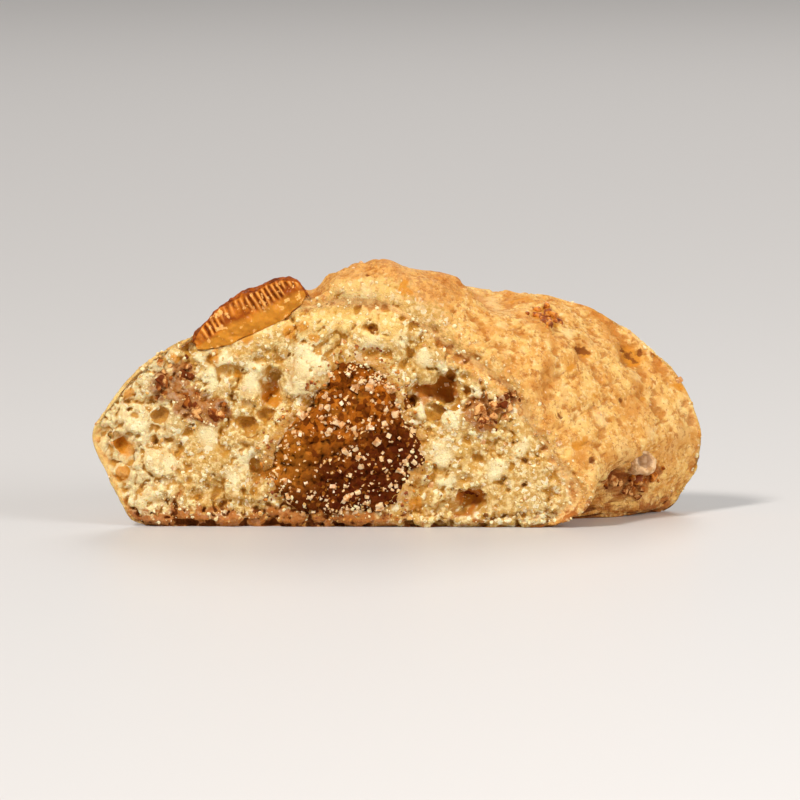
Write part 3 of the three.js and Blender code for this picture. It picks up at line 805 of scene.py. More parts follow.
def chunk_finish():
    """Amber candied orange packed with sugar: each grain has its own shade, some of them white sugar;
    painted shade darkens its hollows.
    """
    f = Finish("candied orange", Subsurface_Weight=0.15, Subsurface_Scale=0.0008,
               Subsurface_Radius=(1.0, 0.3, 0.05), Specular_IOR_Level=0.04)
    sunk, dark, golden = f.values("sunk", "dark", "golden")
    patch = f.noise(2.2, 3.0, shift=0.002)
    sugar = f.cells(0.26, 0.004)
    white = (sugar - sunk * 1.5).ease(0.85, 0.9)
    base = f.layers(
        f.blend((110, 50, 4), (170, 92, 18), f.cells(0.45).ease(0.3, 0.7)),
        ((202, 128, 36), patch.ease(0.54, 0.7) * 0.6),
        ((184, 112, 30), (golden + (patch - 0.5)).ease(0.2, 0.9) * 0.6),
        ((74, 20, 1), (dark + (patch - 0.5) * 1.2).ease(0.2, 0.8) * 0.88),
        ((206, 128, 44), sugar.ease(0.74, 0.8) * 0.5),
        # painted shade: near black in the chunk's hollows
        ((48, 16, 0), sunk.ease(0.02, 0.14) * 0.8),
        ((250, 208, 150), white * 0.9),
    )
    return f.finish(Base_Color=base, Roughness=white.ease(0, 1, 0.5, 0.55),
                    Normal=f.bump(f.noise(0.16, 3.0, 0.6, 0.006), 0.14, 0.9))


def peel_finish():
    """Candied peel: thin dark rind, brown painted shade in the grooves and pale painted highlight on the
    ribs, amber flesh with painted highlights as bright spots, and painted shade in its hollows.
    """
    f = Finish("candied peel", Subsurface_Weight=0.2, Subsurface_Scale=0.001,
               Subsurface_Radius=(1.0, 0.35, 0.06), Coat_Weight=0.06, Coat_Roughness=0.15,
               Specular_IOR_Level=0.1)
    rind, groove, rib, sunk, low = f.values("rind", "groove", "rib", "sunk", "low")
    patch = f.noise(1.1, 3.0, 0.6, 0.003)
    skin = f.blend((150, 70, 10), (98, 38, 4), f.noise(0.5, 3.0, 0.6, 0.004).ease(0.4, 0.6))
    base = f.layers(
        f.blend((192, 108, 22), (150, 70, 8), patch.ease(0.42, 0.6)),
        ((214, 144, 44), (low + (patch - 0.5)).ease(0.2, 0.8) * 0.75),
        # painted highlight on the ribs
        ((240, 166, 80), rib * 0.75),
        # painted shade in the grooves between the ribs
        ((108, 44, 3), (groove + (patch - 0.5) * 0.6).ease(0.1, 1.0) * 0.85),
        # painted highlights: bright spots on the flesh
        ((248, 190, 110), f.noise(0.55, 2.0, shift=0.007).ease(0.57, 0.65) * 0.8),
        (skin, (rind + (f.noise(0.4, 2.0) - 0.5) * 0.8).ease(0.35, 0.65) * 0.9),
        # painted shade in the peel's hollows
        ((92, 34, 2), sunk.ease(0.03, 0.14) * 0.8),
    )
    fine = f.noise(0.25, 3.0, 0.6, 0.006)
    return f.finish(Base_Color=base, Roughness=fine.ease(0.35, 0.65, 0.28, 0.5),
                    Normal=f.bump(fine, 0.1, 0.5))


def nut_finish():
    """Broken nut: brown skin on some faces, tan where it is split, purple-brown here and there, and
    painted shade in its dents.
    """
    f = Finish("nut bits", Roughness=0.6, Subsurface_Weight=0.1, Subsurface_Scale=0.001,
               Specular_IOR_Level=0.08)
    base = f.layers(
        f.blend((232, 172, 106), (158, 86, 28), f.noise(0.7, 3.0, 0.6, 0.003).ease(0.42, 0.54)),
        ((110, 48, 12), f.noise(1.1, 3.0, 0.6, 0.007).ease(0.5, 0.58)),
        # painted shade in the dents of the bits
        ((60, 24, 6), f.value("sunk").ease(0.01, 0.08) * 0.7),
    )
    return f.finish(Base_Color=base, Normal=f.bump(f.noise(0.25, 3.0, 0.6), 0.12, 0.6))


def amber_finish():
    """Small bits of candied fruit: glossy orange-brown."""
    f = Finish("amber bits", Roughness=0.4, Subsurface_Weight=0.2, Subsurface_Scale=0.001,
               Subsurface_Radius=(1.0, 0.4, 0.1), Coat_Weight=0.1, Coat_Roughness=0.15,
               Specular_IOR_Level=0.25)
    base = f.blend((216, 134, 44), (138, 64, 12), f.noise(0.7, 3.0, 0.6).ease(0.42, 0.58))
    return f.finish(Base_Color=base, Normal=f.bump(f.noise(0.3, 3.0, 0.6, 0.004), 0.12, 0.5))


def sugar_finish():
    """Sugar crystals, cream to honey."""
    f = Finish("sugar", Roughness=0.3, Subsurface_Weight=0.4, Subsurface_Scale=0.0005,
               Subsurface_Radius=(1.0, 0.8, 0.6), Coat_Weight=0.2, Coat_Roughness=0.1)
    base = f.blend((250, 210, 162), (214, 148, 84), f.noise(0.5, 2.0).ease(0.42, 0.6))
    return f.finish(Base_Color=base)


def pearl_finish():
    """A round of nib sugar: tan, and browner in its dimple by painted shade."""
    f = Finish("sugar pearl", Roughness=0.4, Subsurface_Weight=0.3, Subsurface_Scale=0.0008,
               Subsurface_Radius=(1.0, 0.8, 0.6), Coat_Weight=0.05, Coat_Roughness=0.15,
               Specular_IOR_Level=0.2)
    # painted shade: browner in the dimple
    brown = (f.value("dimple") + (f.noise(0.4, 2.0, shift=0.002) - 0.5)).ease(0.3, 0.8)
    base = f.layers(
        f.blend((226, 186, 138), (186, 138, 86), f.noise(0.5, 3.0, 0.6).ease(0.44, 0.6)),
        ((140, 98, 60), brown * 0.75),
    )
    return f.finish(Base_Color=base, Normal=f.bump(f.noise(0.3, 3.0, 0.6, 0.004), 0.1, 0.4))


def crumb_finish():
    """Loose crumbs, cream to golden."""
    f = Finish("crumbs", Roughness=0.8, Subsurface_Weight=0.25, Subsurface_Scale=0.0008,
               Subsurface_Radius=(1.0, 0.55, 0.25))
    base = f.blend((252, 230, 176), (218, 160, 82), f.cells(0.4).ease(0.4, 0.7))
    return f.finish(Base_Color=base, Normal=f.bump(f.noise(0.15, 2.0), 0.08, 0.5))


# ---- Dough ----

def crumb_relief(points, normals, pale):
    """Torn crumb: slow swells and packed clumps of three sizes, less a web of small bubbles of two sizes
    and a few larger ones; the pale lumps have fewer bubbles and stand out."""
    torn = warped(points, 1.0, 0.4, 3.0)
    frayed = warped(points, 0.5, 0.14, 29.0)
    clumps = (0.5 * grains(torn, 1.9, 1.1, (0.95, 1.5), 17.0)
              + 0.55 * grains(warped(points, 0.7, 0.2, 9.0), 0.9, 1.1, (0.46, 0.76), 21.0)
              + 0.32 * grains(frayed, 0.42, 1.1, (0.22, 0.36), 27.0)
              + 0.22 * layered_noise(points, 2.8, 2, 57.0))
    web = (0.55 * bubbles(frayed, normals, 0.75, 0.75, (0.18, 0.42), 11.0)
           + 0.32 * bubbles(warped(points, 0.3, 0.08, 37.0), normals, 0.4, 0.8, (0.1, 0.22), 14.0))
    holes = np.maximum(0.8 * bubbles(warped(torn, 0.6, 0.2, 7.0), normals, 3.2, 0.25, (0.3, 0.7), 2.0),
                       0.8 * bubbles(torn, normals, 1.5, 0.4, (0.2, 0.45), 5.0))
    relief = clumps - web * (1 - 0.7 * pale) - np.minimum(holes, 0.9) * (1 - pale)
    return relief - relief.mean() + 0.35 * pale


def crust_relief(points, normals):
    """Baked crust: slow noise and low blisters of three sizes, less ragged pits, pinholes and cracks."""
    torn = warped(points, 1.2, 0.35, 33.0)
    blisters = (0.2 * grains(torn, 1.4, 1.1, (0.7, 1.2), 61.0)
                + 0.3 * grains(warped(points, 0.8, 0.15, 5.0), 0.7, 1.1, (0.36, 0.6), 67.0)
                + 0.4 * grains(warped(points, 0.4, 0.1, 7.0), 0.4, 1.1, (0.21, 0.34), 71.0))
    pits = np.maximum(0.5 * bubbles(torn, normals, 2.8, 0.35, (0.15, 0.4), 29.0),
                      0.7 * bubbles(torn, normals, 1.1, 0.4, (0.08, 0.22), 37.0))
    split = cracks(points, 4.5, 0.05, 43.0) * smooth(3 * layered_noise(points, 5.0, 1, 47.0))
    relief = blisters + 0.12 * layered_noise(points, 2.2, 3, 2.0) - 0.15 * split - np.minimum(pits, 0.6)
    return relief - relief.mean()


def through_steps(count):
    """Shares through the thickness for a number of cells, at steps along the swelling crust that are
    twice as close together at the cuts as in the middle."""
    b = np.linspace(0, 1, 4001)
    swell = RISE * RIM["height"] * np.sin(np.pi * b ** SWELL_BIAS)
    from_cut = np.minimum(b, 1 - b)[1:] * THICKNESS
    steps = np.hypot(np.diff(b) * THICKNESS, np.diff(swell)) * (1 + np.exp(-from_cut / 1.5))
    travelled = np.concatenate(((0,), np.cumsum(steps)))
    return np.interp(np.linspace(0, travelled[-1], count + 1), travelled, b)


def rim_distances(skin):
    """Distance of each point from the nearest rim of a cut, and from the foot, measured on the skin."""
    from_sides = np.minimum(skin.a, 1 - skin.a) * RIM["width"]
    from_top = (1 - skin.c) * RIM["height"]
    from_cut = np.minimum(skin.b, 1 - skin.b) * THICKNESS
    on_cut = from_cut == 0
    from_rim = np.where(on_cut, np.minimum(from_sides, from_top), from_cut)
    on_base = (skin.c == 0) & ~on_cut
    from_foot = np.where(on_base, np.minimum(from_sides, from_cut), skin.c * RIM["height"])
    return from_rim, from_foot


def fruit_clearance(skin, points):
    """Distance of points on the cuts from the chunk's outline, positive outside it; elsewhere large."""
    away = np.full(len(points), 50.0)
    loop = closed_outline(CHUNK_OUTLINE)
    for level in (0, 1):
        here = skin.b == level
        away[here] = -outline_distance(chunk_section(float(level), loop), points[here][:, (0, 2)])
    return away


def peel_cover(points):
    """1 where the front cut would stand in front of the peel's face, easing to 0 around it and to the
    back."""
    t = np.linspace(0, 1, 50)
    lower = peel_form(t, np.zeros(50), np.zeros(50))[:, (0, 2)]
    upper = peel_form(t[::-1], np.zeros(50), np.ones(50))[:, (0, 2)]
    inside = outline_distance(np.concatenate((lower, upper)), points[:, (0, 2)])
    return smooth((inside + 0.1) / 0.25) * smooth((-2.2 - points[:, 1]) / 4)


def nearest(points, place):
    return int(np.linalg.norm(points - place, axis=1).argmin())


class Surface:
    """The finished skin of a piece, for what is set into it."""

    def __init__(self, points, skin):
        self.points, self.skin = points, skin
        self.normals = vertex_normals(points, skin.faces)

    def settle(self, place, sunk):
        """The point of the skin nearest to a place, moved into it by the depth sunk."""
        k = nearest(self.points, place)
        return self.points[k] - sunk * self.normals[k]


def undercut(skin, points):
    """Draws the foot in under itself: every point near the table moves away from the nearest side, most
    at the table, by an uneven depth."""
    low = 1 - smooth(points[:, 2] / UNDERCUT["height"])
    depth = low * UNDERCUT["depth"] * (0.7 + 0.5 * layered_noise(points, 1.3, 2, 95.0))
    reach = UNDERCUT["reach"]
    from_left, from_right = skin.a * RIM["width"], (1 - skin.a) * RIM["width"]
    from_front, from_back = skin.b * THICKNESS, (1 - skin.b) * THICKNESS
    across = (1 - smooth(from_left / reach)) - (1 - smooth(from_right / reach))
    back = (1 - smooth(from_front / reach)) - (1 - smooth(from_back / reach))
    return depth[:, None] * np.stack((across, back, np.zeros(len(points))), axis=1)


def pitted(relief, points, places):
    """The relief with named pits sunk into it, each with a ragged rim."""
    ragged = warped(points, 0.7, 0.22, 97.0)
    for x, y, z, radius in places:
        away = np.linalg.norm(ragged - points[nearest(points, (x, y, z))], axis=1)
        relief = np.minimum(relief, 0.05 - 0.7 * np.sqrt(np.maximum(radius ** 2 - away ** 2, 0)))
    return relief


def on_front_cut(places):
    """Places given by x, z and radius, put in the plane of the front cut."""
    return [(x, -THICKNESS / 2, z, radius) for x, z, radius in places]


def widened(places, times):
    return [(x, y, z, times * radius) for x, y, z, radius in places]


def crumb_edges(skin, form, from_rim, ragged):
    """Where crust and crumb meet: the browned rim of the cuts, the crust's gold that reaches into the
    front cut high on the right, and how far crumb spills over the front rim, most along the top."""
    x, _, z = form.T
    left_band = np.where(x < -17, 0.7, 0.8)
    rim = smooth(1.3 - from_rim / (left_band + 0.5 * ragged))
    high_right = smooth((x - 1) / 4) * smooth((z - 8) / 3)
    gilded = 0.6 * smooth(1.3 - from_rim / (3.2 + 0.9 * ragged)) * high_right
    on_top = (skin.c == 1) & (skin.b < 0.5)
    crest = on_top * smooth(1.3 - np.abs(x + 0.5) / 6)
    spill = np.where(on_top, mix(2.2, 0.9, crest), 0.8) + 0.4 * ragged
    spilled = mix(0.7, 0.85, crest) * smooth(1.2 - from_rim / spill) * smooth((x + 20) / 4)
    on_cut = (skin.b == 0) | (skin.b == 1)
    crumb_share = np.where(on_cut, 1 - 0.75 * rim, spilled)
    crust = np.where(on_cut, np.maximum(rim, gilded), 1 - (0.5 + 0.25 * crest) * crumb_share)
    return rim, crumb_share, crust


def dough_stains(form, on_cut):
    """Nut dust round the bits, amber stains on the front cut and the crust, and brown round the pits that
    is partly the crust's browning and partly painted shade in them and round the bits.
    """
    flattened = np.where(on_cut[:, None], form * (1, 0, 1) - (0, THICKNESS / 2, 0), form)
    cut_stains = spots(warped(flattened, 0.9, 0.25, 87.0), on_front_cut(AMBER_STAINS)) * (form[:, 1] < 0)
    crust_stains = spots(warped(form, 0.9, 0.4, 88.0), CRUST_STAINS)
    return {
        "nut": spots(warped(form, 0.9, 0.3, 83.0), widened(NUT_BITS + WALL_NUTS + WALL_FRUIT, 2.1)),
        "amber": np.maximum(cut_stains, crust_stains),
        "burnt": spots(warped(form, 0.6, 0.2, 89.0), widened(CRUST_PITS, 1.4)),
    }


def make_dough(finish):
    """The dough: its form with rounded rims, then crumb relief on the cuts and crust relief between them,
    named pits, and wells under the chunk and the peel."""
    across, through, up = DOUGH_CELLS
    skin = Skin(np.linspace(0, 1, across + 1), through_steps(through), np.linspace(0, 1, up + 1))
    form = dough_form(skin.a, skin.b, skin.c, POCKET_RAGGEDNESS)
    form = form + undercut(skin, form)
    from_rim, from_foot = rim_distances(skin)
    form = eased(form, skin.faces, 0.6 * (1 - smooth(from_rim / 1.2)), 20)
    x, y, z = form.T
    normals = vertex_normals(form, skin.faces)
    on_cut = (skin.b == 0) | (skin.b == 1)
    on_base = (skin.c == 0) & ~on_cut
    ragged = layered_noise(form, 1.4, 2, 31.0)
    pale = spots(warped(form, 1.0, 0.3, 91.0), on_front_cut(PALE_LUMPS))
    swellings = spots(warped(form, 0.8, 0.2, 92.0), CRUST_LUMPS)
    left_edge = 0.6 * smooth((-16 - x) / 3)
    rim, crumb_share, crust = crumb_edges(skin, form, from_rim, ragged)

    on_crust = crust_relief(form, normals) + 0.12 * swellings
    relief = mix(on_crust, crumb_relief(form, normals, pale), crumb_share)
    hollow = np.where(skin.b == 0, np.maximum(front_hollows(form, POCKET_RAGGEDNESS), 0), 0)
    relief = relief * mix(0.5, 1, smooth(from_rim / 0.7)) * (1 - 0.3 * smooth(hollow / 1.2))
    relief = pitted(relief, form, CRUST_PITS + CREST_GAPS + on_front_cut(CRUMB_GAPS))
    relief = relief + 0.15 * (1 - smooth(from_rim / 1.2))
    relief = np.where(on_base, relief * (1 - smooth(from_foot / 1.2)), relief)
    points = form + normals * relief[:, None]

    clear = fruit_clearance(skin, form)
    well = smooth((-0.5 - clear - 0.5 * layered_noise(form, 1.1, 3, 53.0)) / 0.4) * WELL_DEPTH
    points[:, 1] += np.where(skin.b == 0, well, np.where(skin.b == 1, -well, 0))
    points[:, 1] += PEEL_BED * peel_cover(form)
    points[:, 2] = np.where(on_base & (from_foot > 1.2), 0, np.maximum(points[:, 2], 0))
    surface = Surface(points, skin)
    surface.near_fruit = (clear > 0) & (clear < 1.3)

    toast = smooth(1.15 - z / (2.5 + 1.1 * ragged))
    toast = toast * np.where(on_cut, mix(0.4, 1, smooth((4 - x) / 8)), 0.7)
    piece = make_piece(
        "biscuit_dough", points, skin.faces, finish, skin.layout,
        crust=crust,
        # how far each point lies below its neighbours: the finish paints shade into the hollows by it
        sunk=sunkness(points, surface.normals, skin.faces, 10),
        # painted shade by depth: the hollows of the front cut and how far the relief sinks below the form
        deep=0.9 * hollow - relief,
        # paler lumps, rims, swellings and left end: partly their own tone, partly painted highlight and
        # painted light
        pale=np.maximum(np.maximum(pale, 0.7 * rim) * on_cut, np.maximum(swellings, left_edge)),
        baked=smooth((z - 16.5) / 2) * smooth((8 - x) / 4),
        # where the crumb is painted warmer: partly its own colour, partly painted light over the peel's
        # shadow
        warm=smooth((z - 13.5) / 2.5) * smooth((3 - x) / 4) * (y < 0),
        toast=np.where(on_base, 1.0, toast),
        soak=smooth(1.1 - np.maximum(clear, 0) / (0.7 + 0.5 * ragged)),
        **dough_stains(form, on_cut),
    )
    return piece, surface


# ---- Fruit ----

def make_chunk(finish):
    """The candied chunk: its form with a ragged outline whose rim turns back under the crumb, packed
    sugary grains of three sizes and noise."""
    skin = even_skin(*CHUNK_CELLS)
    form = chunk_form(skin.a, skin.b, skin.c)
    form = mix(form, warped(form, 1.1, 0.3, 71.0), np.array((1, 0, 1)))
    edge = np.minimum(np.minimum(skin.a, 1 - skin.a), np.minimum(skin.c, 1 - skin.c)) * 12
    on_cut = (skin.b == 0) | (skin.b == 1)
    form[:, 1] += (1 - 2 * skin.b) * 0.35 * (1 - smooth(edge / 0.9)) * on_cut
    normals = vertex_normals(form, skin.faces)
    texture = (0.4 * grains(warped(form, 0.7, 0.2, 5.0), 0.9, 1.1, (0.46, 0.78), 3.0)
               + 0.5 * grains(warped(form, 0.5, 0.1, 8.0), 0.46, 1.1, (0.24, 0.4), 5.0)
               + 0.45 * grains(form, 0.26, 1.1, (0.13, 0.22), 9.0)
               + 0.22 * layered_noise(form, 1.6, 3, 7.0))
    points = form + normals * (texture - texture.mean())[:, None]
    surface = Surface(points, skin)
    surface.on_cut, surface.near_edge = on_cut, on_cut & (edge < 1.1)
    right, up = form[:, 0] - CHUNK_HEART[0], form[:, 2] - CHUNK_HEART[1]
    piece = make_piece(
        "candied_orange_chunk", points, skin.faces, finish, skin.layout,
        # how far each point lies below its neighbours, for the painted shade in the hollows
        sunk=sunkness(points, surface.normals, skin.faces, 8),
        dark=np.clip(0.45 + 0.08 * right - 0.15 * up, 0, 1),
        golden=smooth((-1.7 - right - 0.3 * up) / 2.5),
    )
    return piece, surface


def make_peel(finish):
    """The candied peel: its form, with uneven ribs across the upper half of its face and a bead of rind
    along its upper edge."""
    skin = even_skin(*PEEL_CELLS)
    form = peel_form(skin.a, skin.b, skin.c)
    normals = vertex_normals(form, skin.faces)
    wander = layered_noise(form, 1.3, 2, 3.0)
    across = np.sin(2 * np.pi * (PEEL_RIBS * skin.a - 0.8 * (1 - skin.c) ** 2) + 1.6 * wander)
    height = skin.c + 0.06 * layered_noise(form, 0.9, 2, 13.0)
    ribbed = (smooth((height - 0.42 - 0.2 * wander) / 0.2) * smooth((0.95 - height) / 0.06)
              * smooth(0.8 + 0.9 * layered_noise(form, 1.2, 2, 17.0)))
    rind = np.maximum(smooth((height - 0.92) / 0.05), smooth((skin.a - 0.985) / 0.01))
    texture = 0.12 * ribbed * across + 0.04 * rind + 0.18 * layered_noise(form, 0.9, 3, 9.0)
    points = form + normals * texture[:, None]
    surface = Surface(points, skin)
    return make_piece(
        "candied_peel_slab", points, skin.faces, finish, skin.layout,
        # how far each point lies below its neighbours, for the painted shade in the hollows
        sunk=sunkness(points, surface.normals, skin.faces, 6),
        rind=rind,
        # painted shade in the grooves and painted highlight on the ribs
        groove=ribbed * smooth(-0.1 - 1.3 * across) * (1 - rind),
        rib=ribbed * smooth(1.5 * across - 0.2) * (1 - rind),
        low=1 - smooth((height - 0.15) / 0.5),
    )


# ---- Bits, crystals and crumbs ----

def cube(cells):
    """A box skin from -1 to 1 each way."""
    skin = even_skin(cells, cells, cells)
    return np.stack((skin.a, skin.b, skin.c), axis=1) * 2 - 1, skin.faces


def ball(cells):
    """A cube blown up to a sphere: each point divided by its length."""
    points, faces = cube(cells)
    return points / np.linalg.norm(points, axis=1, keepdims=True), faces


def joined(name, parts, finish, **values):
    """One mesh from a list of (points, faces)."""
    starts = np.cumsum([0] + [len(points) for points, _ in parts[:-1]])
    points = np.concatenate([points for points, _ in parts])
    faces = np.concatenate([faces + start for (_, faces), start in zip(parts, starts)])
    return make_piece(name, points, faces, finish, **values)


def seeded_places():
    """More bits, drawn in the same order as in the solid: on the back cut and the far crust."""
    draw = seeded_random(SCATTER["seed"])
    made = []
    for kind, first, second in (("back", (0.1, 0.9), (0.15, 0.85)), ("crust", (0.08, 0.6), (0.5, 0.92))):
        for _ in range(SCATTER[kind]):
            s, t = mix(*first, draw()), mix(*second, draw())
            a, b, c = (s, 1.0, t) if kind == "back" else (s, t, 1.0)
            place = dough_form(np.array([a]), np.array([b]), np.array([c]))[0]
            made.append((*place, mix(SCATTER["smallest"], SCATTER["largest"], draw())))
    return made


def clustered(places, surface, seed, count, sunk):
    """Each bit broken into smaller shards, settled into the surface about its place."""
    rng = np.random.default_rng(seed)
    made = []
    for x, y, z, radius in places:
        for k in range(count):
            at = np.array((x, y, z)) + (0 if k == 0 else 1) * rng.normal(size=3) * 0.75 * radius
            size = radius * (0.62 if k == 0 else rng.uniform(0.25, 0.5))
            made.append((*surface.settle(at, sunk * size), size))
    return made


def make_bits(name, places, finish, seed, cuts=7):
    """Broken bits: unit balls squeezed, cut flat on random sides and roughened by noise."""
    unit, faces = ball(7)
    parts, sunk = [], []
    rng = np.random.default_rng(seed)
    for x, y, z, radius in places:
        shape = unit * rng.uniform(0.7, 1.25, 3)
        for cut in rng.normal(size=(cuts, 3)):
            cut /= np.linalg.norm(cut)
            over = np.maximum(shape @ cut - rng.uniform(0.45, 0.75), 0)
            shape -= 0.9 * over[:, None] * cut
        shape *= radius
        normals = vertex_normals(shape, faces)
        at = shape + (x, y, z)
        rough = 0.14 * layered_noise(at, 0.5, 3, seed) * radius
        parts.append((at + normals * rough[:, None], faces))
        # depth of each dent, by which the nut finish paints shade into it
        sunk.append(-rough)
    return joined(name, parts, finish, sunk=np.concatenate(sunk))


def make_pearl(finish, dough):
    """The round of nib sugar, seated in the wall: a ball with a dimple on its outward side and a little
    noise."""
    *place, radius = SUGAR_PEARL
    middle = dough.points[nearest(dough.points, place)] + 0.05 * PEARL_FACING
    unit, faces = ball(12)
    dimple = smooth((unit @ PEARL_FACING - 0.6) / 0.25)
    swell = 1 - 0.25 * dimple + 0.18 * layered_noise(unit, 0.8, 3, 6.0)
    return make_piece("sugar_pearl", middle + radius * unit * swell[:, None], faces, finish, dimple=dimple)


def random_turns(rng, count):
    """Random rotation matrices, from normalised quaternions."""
    w, x, y, z = (lambda q: (q / np.linalg.norm(q, axis=0)))(rng.normal(size=(4, count)))
    rows = [[1 - 2 * (y * y + z * z), 2 * (x * y - z * w), 2 * (x * z + y * w)],
            [2 * (x * y + z * w), 1 - 2 * (x * x + z * z), 2 * (y * z - x * w)],
            [2 * (x * z - y * w), 2 * (y * z + x * w), 1 - 2 * (x * x + y * y)]]
    return np.array(rows).transpose(2, 0, 1)


def picked_places(rng, sizes, surface, where, count, sunk, gathered=0.0):
    """Places drawn from the points of a surface where the mask holds, sunk by a share of each size, and
    gathered in patches by powers of a noise."""
    open_to = np.nonzero(where & (surface.points[:, 2] > 0.35))[0]
    chance = np.exp(gathered * layered_noise(surface.points[open_to], 1.6, 2, 23.0))
    picked = rng.choice(open_to, count, replace=False, p=chance / chance.sum())
    return surface.points[picked] - (sunk * sizes)[:, None] * surface.normals[picked]


def strewn(name, shape, finish, grounds, seed, size, stretch=(0.6, 1.2), uneven=0.25):
    """Many small copies of a shape, each with its own size along three axes, dents and turn. The size is
    the least plus a range times a power of a draw. Each ground says on what surface they lie, where on
    it, how many, how sunk and how gathered."""
    unit, faces = shape
    least, spread, power = size
    rng = np.random.default_rng(seed)
    counts = [ground["count"] for ground in grounds]
    total = sum(counts)
    sizes = least + spread * rng.random(total) ** power
    shares = np.split(sizes, np.cumsum(counts)[:-1])
    places = np.concatenate([picked_places(rng, own, **ground) for own, ground in zip(shares, grounds)])
    axes = sizes[:, None] * rng.uniform(*stretch, (total, 3))
    turns = random_turns(rng, total)
    shapes = unit[None] * axes[:, None, :] * (1 + uneven * rng.uniform(-1, 1, (total, len(unit), 1)))
    points = np.einsum("nij,nkj->nki", turns, shapes) + places[:, None, :]
    starts = np.arange(total)[:, None, None] * len(unit)
    faces = (faces[None] + starts).reshape(-1, faces.shape[1])
    return make_piece(name, points.reshape(-1, 3), faces, finish)


def make_sugar(finish, chunk, dough):
    """Sugar crystals: many on the chunk's cut faces, a few on the crumb and the crust."""
    grounds = (
        {"surface": chunk, "where": chunk.on_cut, "count": 480, "sunk": 0.3, "gathered": 1.7},
        {"surface": dough, "where": dough.skin.c > 0.1, "count": 140, "sunk": 0.4},
    )
    piece = strewn("sugar_crystals", cube(1), finish, grounds, seed=5, size=(0.06, 0.17, 2),
                   stretch=(0.6, 1.3), uneven=0.0)
    piece.data.shade_flat()
    return piece


def make_crumbs(finish, chunk, dough):
    """Crumbs that cling, partly sunk, to the cuts and their rims, and some to the chunk's edge."""
    by_the_cuts = ((dough.skin.b < 0.03) | (dough.skin.b > 0.97)) & (dough.skin.c > 0.03)
    off_the_left = dough.points[:, 0] > -20
    grounds = (
        {"surface": dough, "where": by_the_cuts & off_the_left, "count": 3600, "sunk": 0.3},
        {"surface": chunk, "where": chunk.near_edge, "count": 240, "sunk": 0.2, "gathered": 1.0},
    )
    return strewn("loose_crumbs", ball(2), finish, grounds, seed=9, size=(0.06, 0.16, 3))


def make_grains(finish, dough):
    """Amber grains of the candied fruit that strayed into the crumb round the chunk."""
    grounds = ({"surface": dough, "where": dough.near_fruit, "count": 340, "sunk": 0.3, "gathered": 1.0},)
    return strewn("candied_grains", ball(2), finish, grounds, seed=15, size=(0.07, 0.13, 2))


# ---- Stage ----

# Lights: place, diameter, power and tint. All of them point at the middle of the slice.
LIGHTS = {
    "key": ((-0.30, -0.36, 0.50), 0.13, 3.75, (1.0, 0.97, 0.93)),
    "fill": ((0.5, -0.35, 0.25), 0.40, 2.4, (1, 1, 1)),
    "back": ((0.1, 0.55, 0.45), 0.40, 1.2, (1, 1, 1)),
}
LIT = (0, 0, 0.008)
SKY = {"Color": (1.0, 0.985, 0.965, 1), "Strength": 0.38}
FLOOR_HALF = 3.0
CAMERA = {"place": (0.0217, -0.690, 0.0817), "target": (0, 0, 0.0095), "lens": 392}


def make_floor():
    """A wide pale sheet under the biscotto."""
    mesh = bpy.data.meshes.new("floor")
    corners = [(x * FLOOR_HALF, y * FLOOR_HALF, 0) for x, y in ((-1, -1), (1, -1), (1, 1), (-1, 1))]
    mesh.from_pydata(corners, [], [(0, 1, 2, 3)])
    floor = bpy.data.objects.new("floor", mesh)
    bpy.context.collection.objects.link(floor)
    f = Finish("pale floor", Roughness=0.45, Specular_IOR_Level=0.35)
    f.shader.inputs["Base Color"].default_value = colour(207, 203, 200)
    mesh.materials.append(f.material)


def facing(place, target):
    """The turn that points a light or camera from its place to the target."""
    return (Vector(target) - Vector(place)).to_track_quat("-Z", "Y").to_euler()


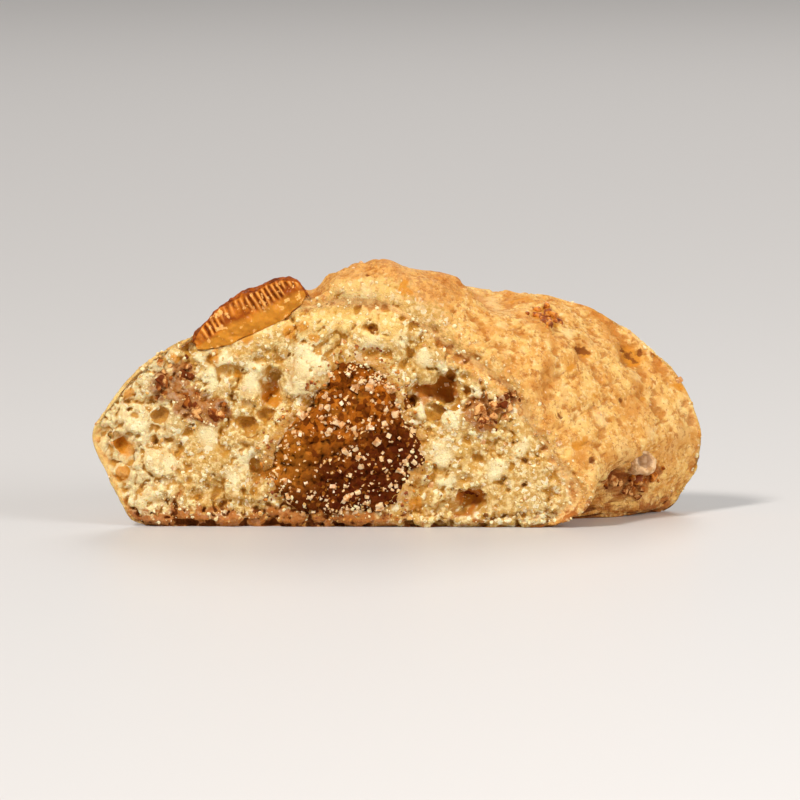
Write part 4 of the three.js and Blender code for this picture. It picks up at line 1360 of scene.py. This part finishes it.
def add_light(name, place, size, power, tint):
    data = bpy.data.lights.new(name, "AREA")
    data.shape, data.size, data.energy, data.color = "DISK", size, power, tint
    light = bpy.data.objects.new(name, data)
    light.location, light.rotation_euler = place, facing(place, LIT)
    bpy.context.collection.objects.link(light)


def make_stage():
    scene = bpy.context.scene
    scene.view_settings.view_transform = "Standard"
    world = bpy.data.worlds.new("soft white")
    world.use_nodes = True
    for key, value in SKY.items():
        world.node_tree.nodes["Background"].inputs[key].default_value = value
    scene.world = world
    for name, (place, size, power, tint) in LIGHTS.items():
        add_light(name, place, size, power, tint)
    make_floor()
    camera = bpy.data.objects.new("camera", bpy.data.cameras.new("camera"))
    camera.location, camera.rotation_euler = CAMERA["place"], facing(CAMERA["place"], CAMERA["target"])
    camera.data.sensor_width = 36
    camera.data.lens = CAMERA["lens"]
    camera.data.clip_start, camera.data.clip_end = 0.05, 10
    bpy.context.collection.objects.link(camera)
    scene.camera = camera


# ---- Making it ----

def own(piece, slot, *nodes):
    """Puts the piece on the root body and hides the nodes that it stands for. The slot is not used."""
    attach(piece, "root")
    if nodes:
        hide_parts(*nodes)


make_stage()
dough_piece, dough = make_dough(dough_finish())
own(dough_piece, "dough", "dough")
chunk_piece, chunk = make_chunk(chunk_finish())
own(chunk_piece, "candied_chunk", "candied_chunk")
own(make_peel(peel_finish()), "candied_peel", "candied_peel")
more = [(*dough.settle(np.array(place), SCATTER["sunk"]), radius) for *place, radius in seeded_places()]
nuts = (clustered(NUT_BITS, dough, seed=3, count=8, sunk=0.25)
        + clustered(WALL_NUTS, dough, seed=7, count=11, sunk=-0.15) + more[::2])
own(make_bits("nut_bits", nuts, nut_finish(), 3), "dough")
amber = amber_finish()
ambers = (clustered(CREST_FRUIT, dough, seed=6, count=7, sunk=0.1)
          + clustered(WALL_FRUIT, dough, seed=8, count=9, sunk=-0.1) + more[1::2])
own(make_bits("amber_bits", ambers, amber, 4), "candied_peel")
own(make_pearl(pearl_finish(), dough), "dough")
own(make_sugar(sugar_finish(), chunk, dough), "candied_chunk")
own(make_crumbs(crumb_finish(), chunk, dough), "dough")
own(make_grains(amber, dough), "candied_chunk")
